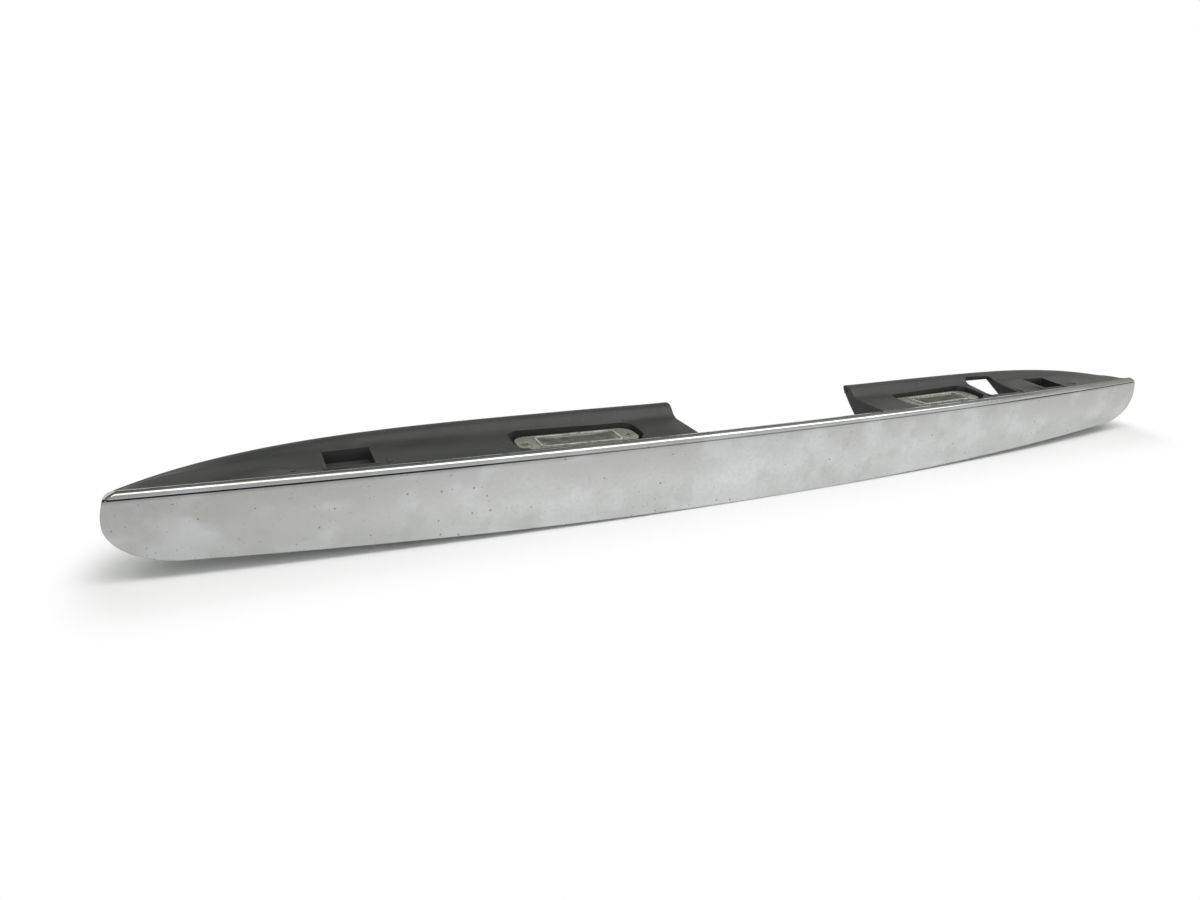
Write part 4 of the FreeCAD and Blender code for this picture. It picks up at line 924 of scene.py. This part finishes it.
for side in (-1, 1):
    outline = [(0, CLIP_STUB), (CLIP_SHANK, CLIP_STUB), (CLIP_SHANK, CLIP_HEAD_LOW)] + CLIP_HEAD
    for start in CLIP_BARBS:
        outline += [(CLIP_HOLLOW, start + 0.0006), (CLIP_BARB - 0.0005, start + 0.0001),
                    (CLIP_BARB, start), (CLIP_BARB - 0.0003, start + 0.0005),
                    (CLIP_SHANK, start + 0.0023), (CLIP_NECK, start + 0.0028)]
    verts = lathe(clips, outline + [(CLIP_SHANK * 0.5, CLIP_REACH - 0.00005), (0, CLIP_REACH)], 28)
    place = (side * (clip_high.x - CLIP_HEAD_RADIUS), clip_high.y - CLIP_SETBACK, CLIP_HEIGHT)
    stand(clips, verts, place, CLIP_AXIS)
bmesh.ops.recalc_face_normals(clips, faces=clips.faces)
clip_piece = finished("fir_tree_clips", clips, 35.0)
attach(clip_piece, "root")
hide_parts("push_clips")
clip_piece.data.materials.append(
    simple("natural_nylon", (0.55, 0.53, 0.47), (0.63, 0.61, 0.55), 0.004, 0.0, (0.35, 0.5),
           0.0008, 0.00006))


# ================================================================ star washers
# Spring-steel push-on washers: a flat ring whose inner teeth are bent up and bite into the pegs.
washer_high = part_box("star_washers")[1]
WASHER_RADIUS = 0.0060
WASHER_RINGS = (0.0022, 0.0016)     # widths of the flat ring and of the toothed one
WASHER_THICK = 0.0005
WASHER_GAP = 0.00002        # behind the washer, to the end of the CAD node
TEETH = 8
TOOTH_RISE = 0.00045
TOOTH_FIT = 0.00005         # between a tooth and its peg
NOTCH_RADIUS = 0.0035       # between the teeth
washers = bmesh.new()
for x in PEG_X:
    for side in (-1, 1):
        old = set(washers.verts)
        ring = bmesh.ops.create_circle(washers, cap_ends=True, segments=TEETH * 4, radius=WASHER_RADIUS)
        disc = ring["verts"][0].link_faces[0]
        for width in WASHER_RINGS:
            bmesh.ops.inset_region(washers, faces=[disc], thickness=width, use_boundary=True)
        # round the hole, two points of each four stand up as a tooth and two lie back in a notch
        for i, vert in enumerate(sorted(disc.verts, key=lambda v: math.atan2(v.co.y, v.co.x))):
            tooth = i % 4 < 2
            vert.co *= (PEG_RADIUS + TOOTH_FIT if tooth else NOTCH_RADIUS) / vert.co.length
            vert.co.z = TOOTH_RISE if tooth else 0.0
        bmesh.ops.delete(washers, geom=[disc], context="FACES_ONLY")
        faces = list({f for v in washers.verts if v not in old for f in v.link_faces})
        bmesh.ops.recalc_face_normals(washers, faces=faces)
        bmesh.ops.solidify(washers, geom=faces, thickness=WASHER_THICK)
        new = [v for v in washers.verts if v not in old]
        bmesh.ops.translate(washers, verts=new, vec=(0, 0, -min(v.co.z for v in new)))
        back = bow(x) - bow(PEG_X[-1]) + washer_high.y - WASHER_GAP
        stand(washers, new, (side * x, back - WASHER_THICK, lip_line(x) - PEG_DROP), (0, 1, 0))
bmesh.ops.recalc_face_normals(washers, faces=washers.faces)
washer_piece = finished("toothed_washers", washers, 35.0)
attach(washer_piece, "root")
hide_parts("star_washers")
washer_piece.data.materials.append(
    simple("spring_steel", (0.18, 0.18, 0.19), (0.30, 0.30, 0.31), 0.003, 1.0, (0.25, 0.45),
           0.0006, 0.00003))


# ================================================================ foam seals
# Black closed-cell foam, cut from strip and stuck on: along the shelf's back edges, inside the
# lower edge and round the studs.  Its cut edges are soft and a little uneven.
FOAM_SOFTNESS = 0.0005
FOAM_SPAN = 0.012           # longer edges are cut up, to be made uneven
FOAM_WAVES = 140.0          # of unevenness, to the metre
FOAM_UNEVEN = 0.00012
FOAM_SEED = 1
noise.seed_set(FOAM_SEED)   # or else each run would draw its own unevenness


def uneven(mesh_builder):
    long = [e for e in mesh_builder.edges if e.calc_length() > FOAM_SPAN]
    bmesh.ops.subdivide_edges(mesh_builder, edges=long, cuts=5, use_grid_fill=True)
    for vert in mesh_builder.verts:
        vert.co += noise.noise_vector(vert.co * FOAM_WAVES) * FOAM_UNEVEN


foam = simple("seal_foam", (0.025, 0.025, 0.026), (0.05, 0.05, 0.05), 0.0012, 0.0, (0.85, 0.95),
              0.0006, 0.0004)
for name, new_name in (("left_edge_seal", "left_edge_foam"), ("right_edge_seal", "right_edge_foam"),
                       ("rim_seal", "rim_foam"), ("stud_seals", "stud_foam_rings")):
    strip = merged_copy(name, new_name, FOAM_SOFTNESS, smooth_angle=40.0,
                        shape=None if name == "stud_seals" else uneven)
    strip.data.materials.clear()
    strip.data.materials.append(foam)
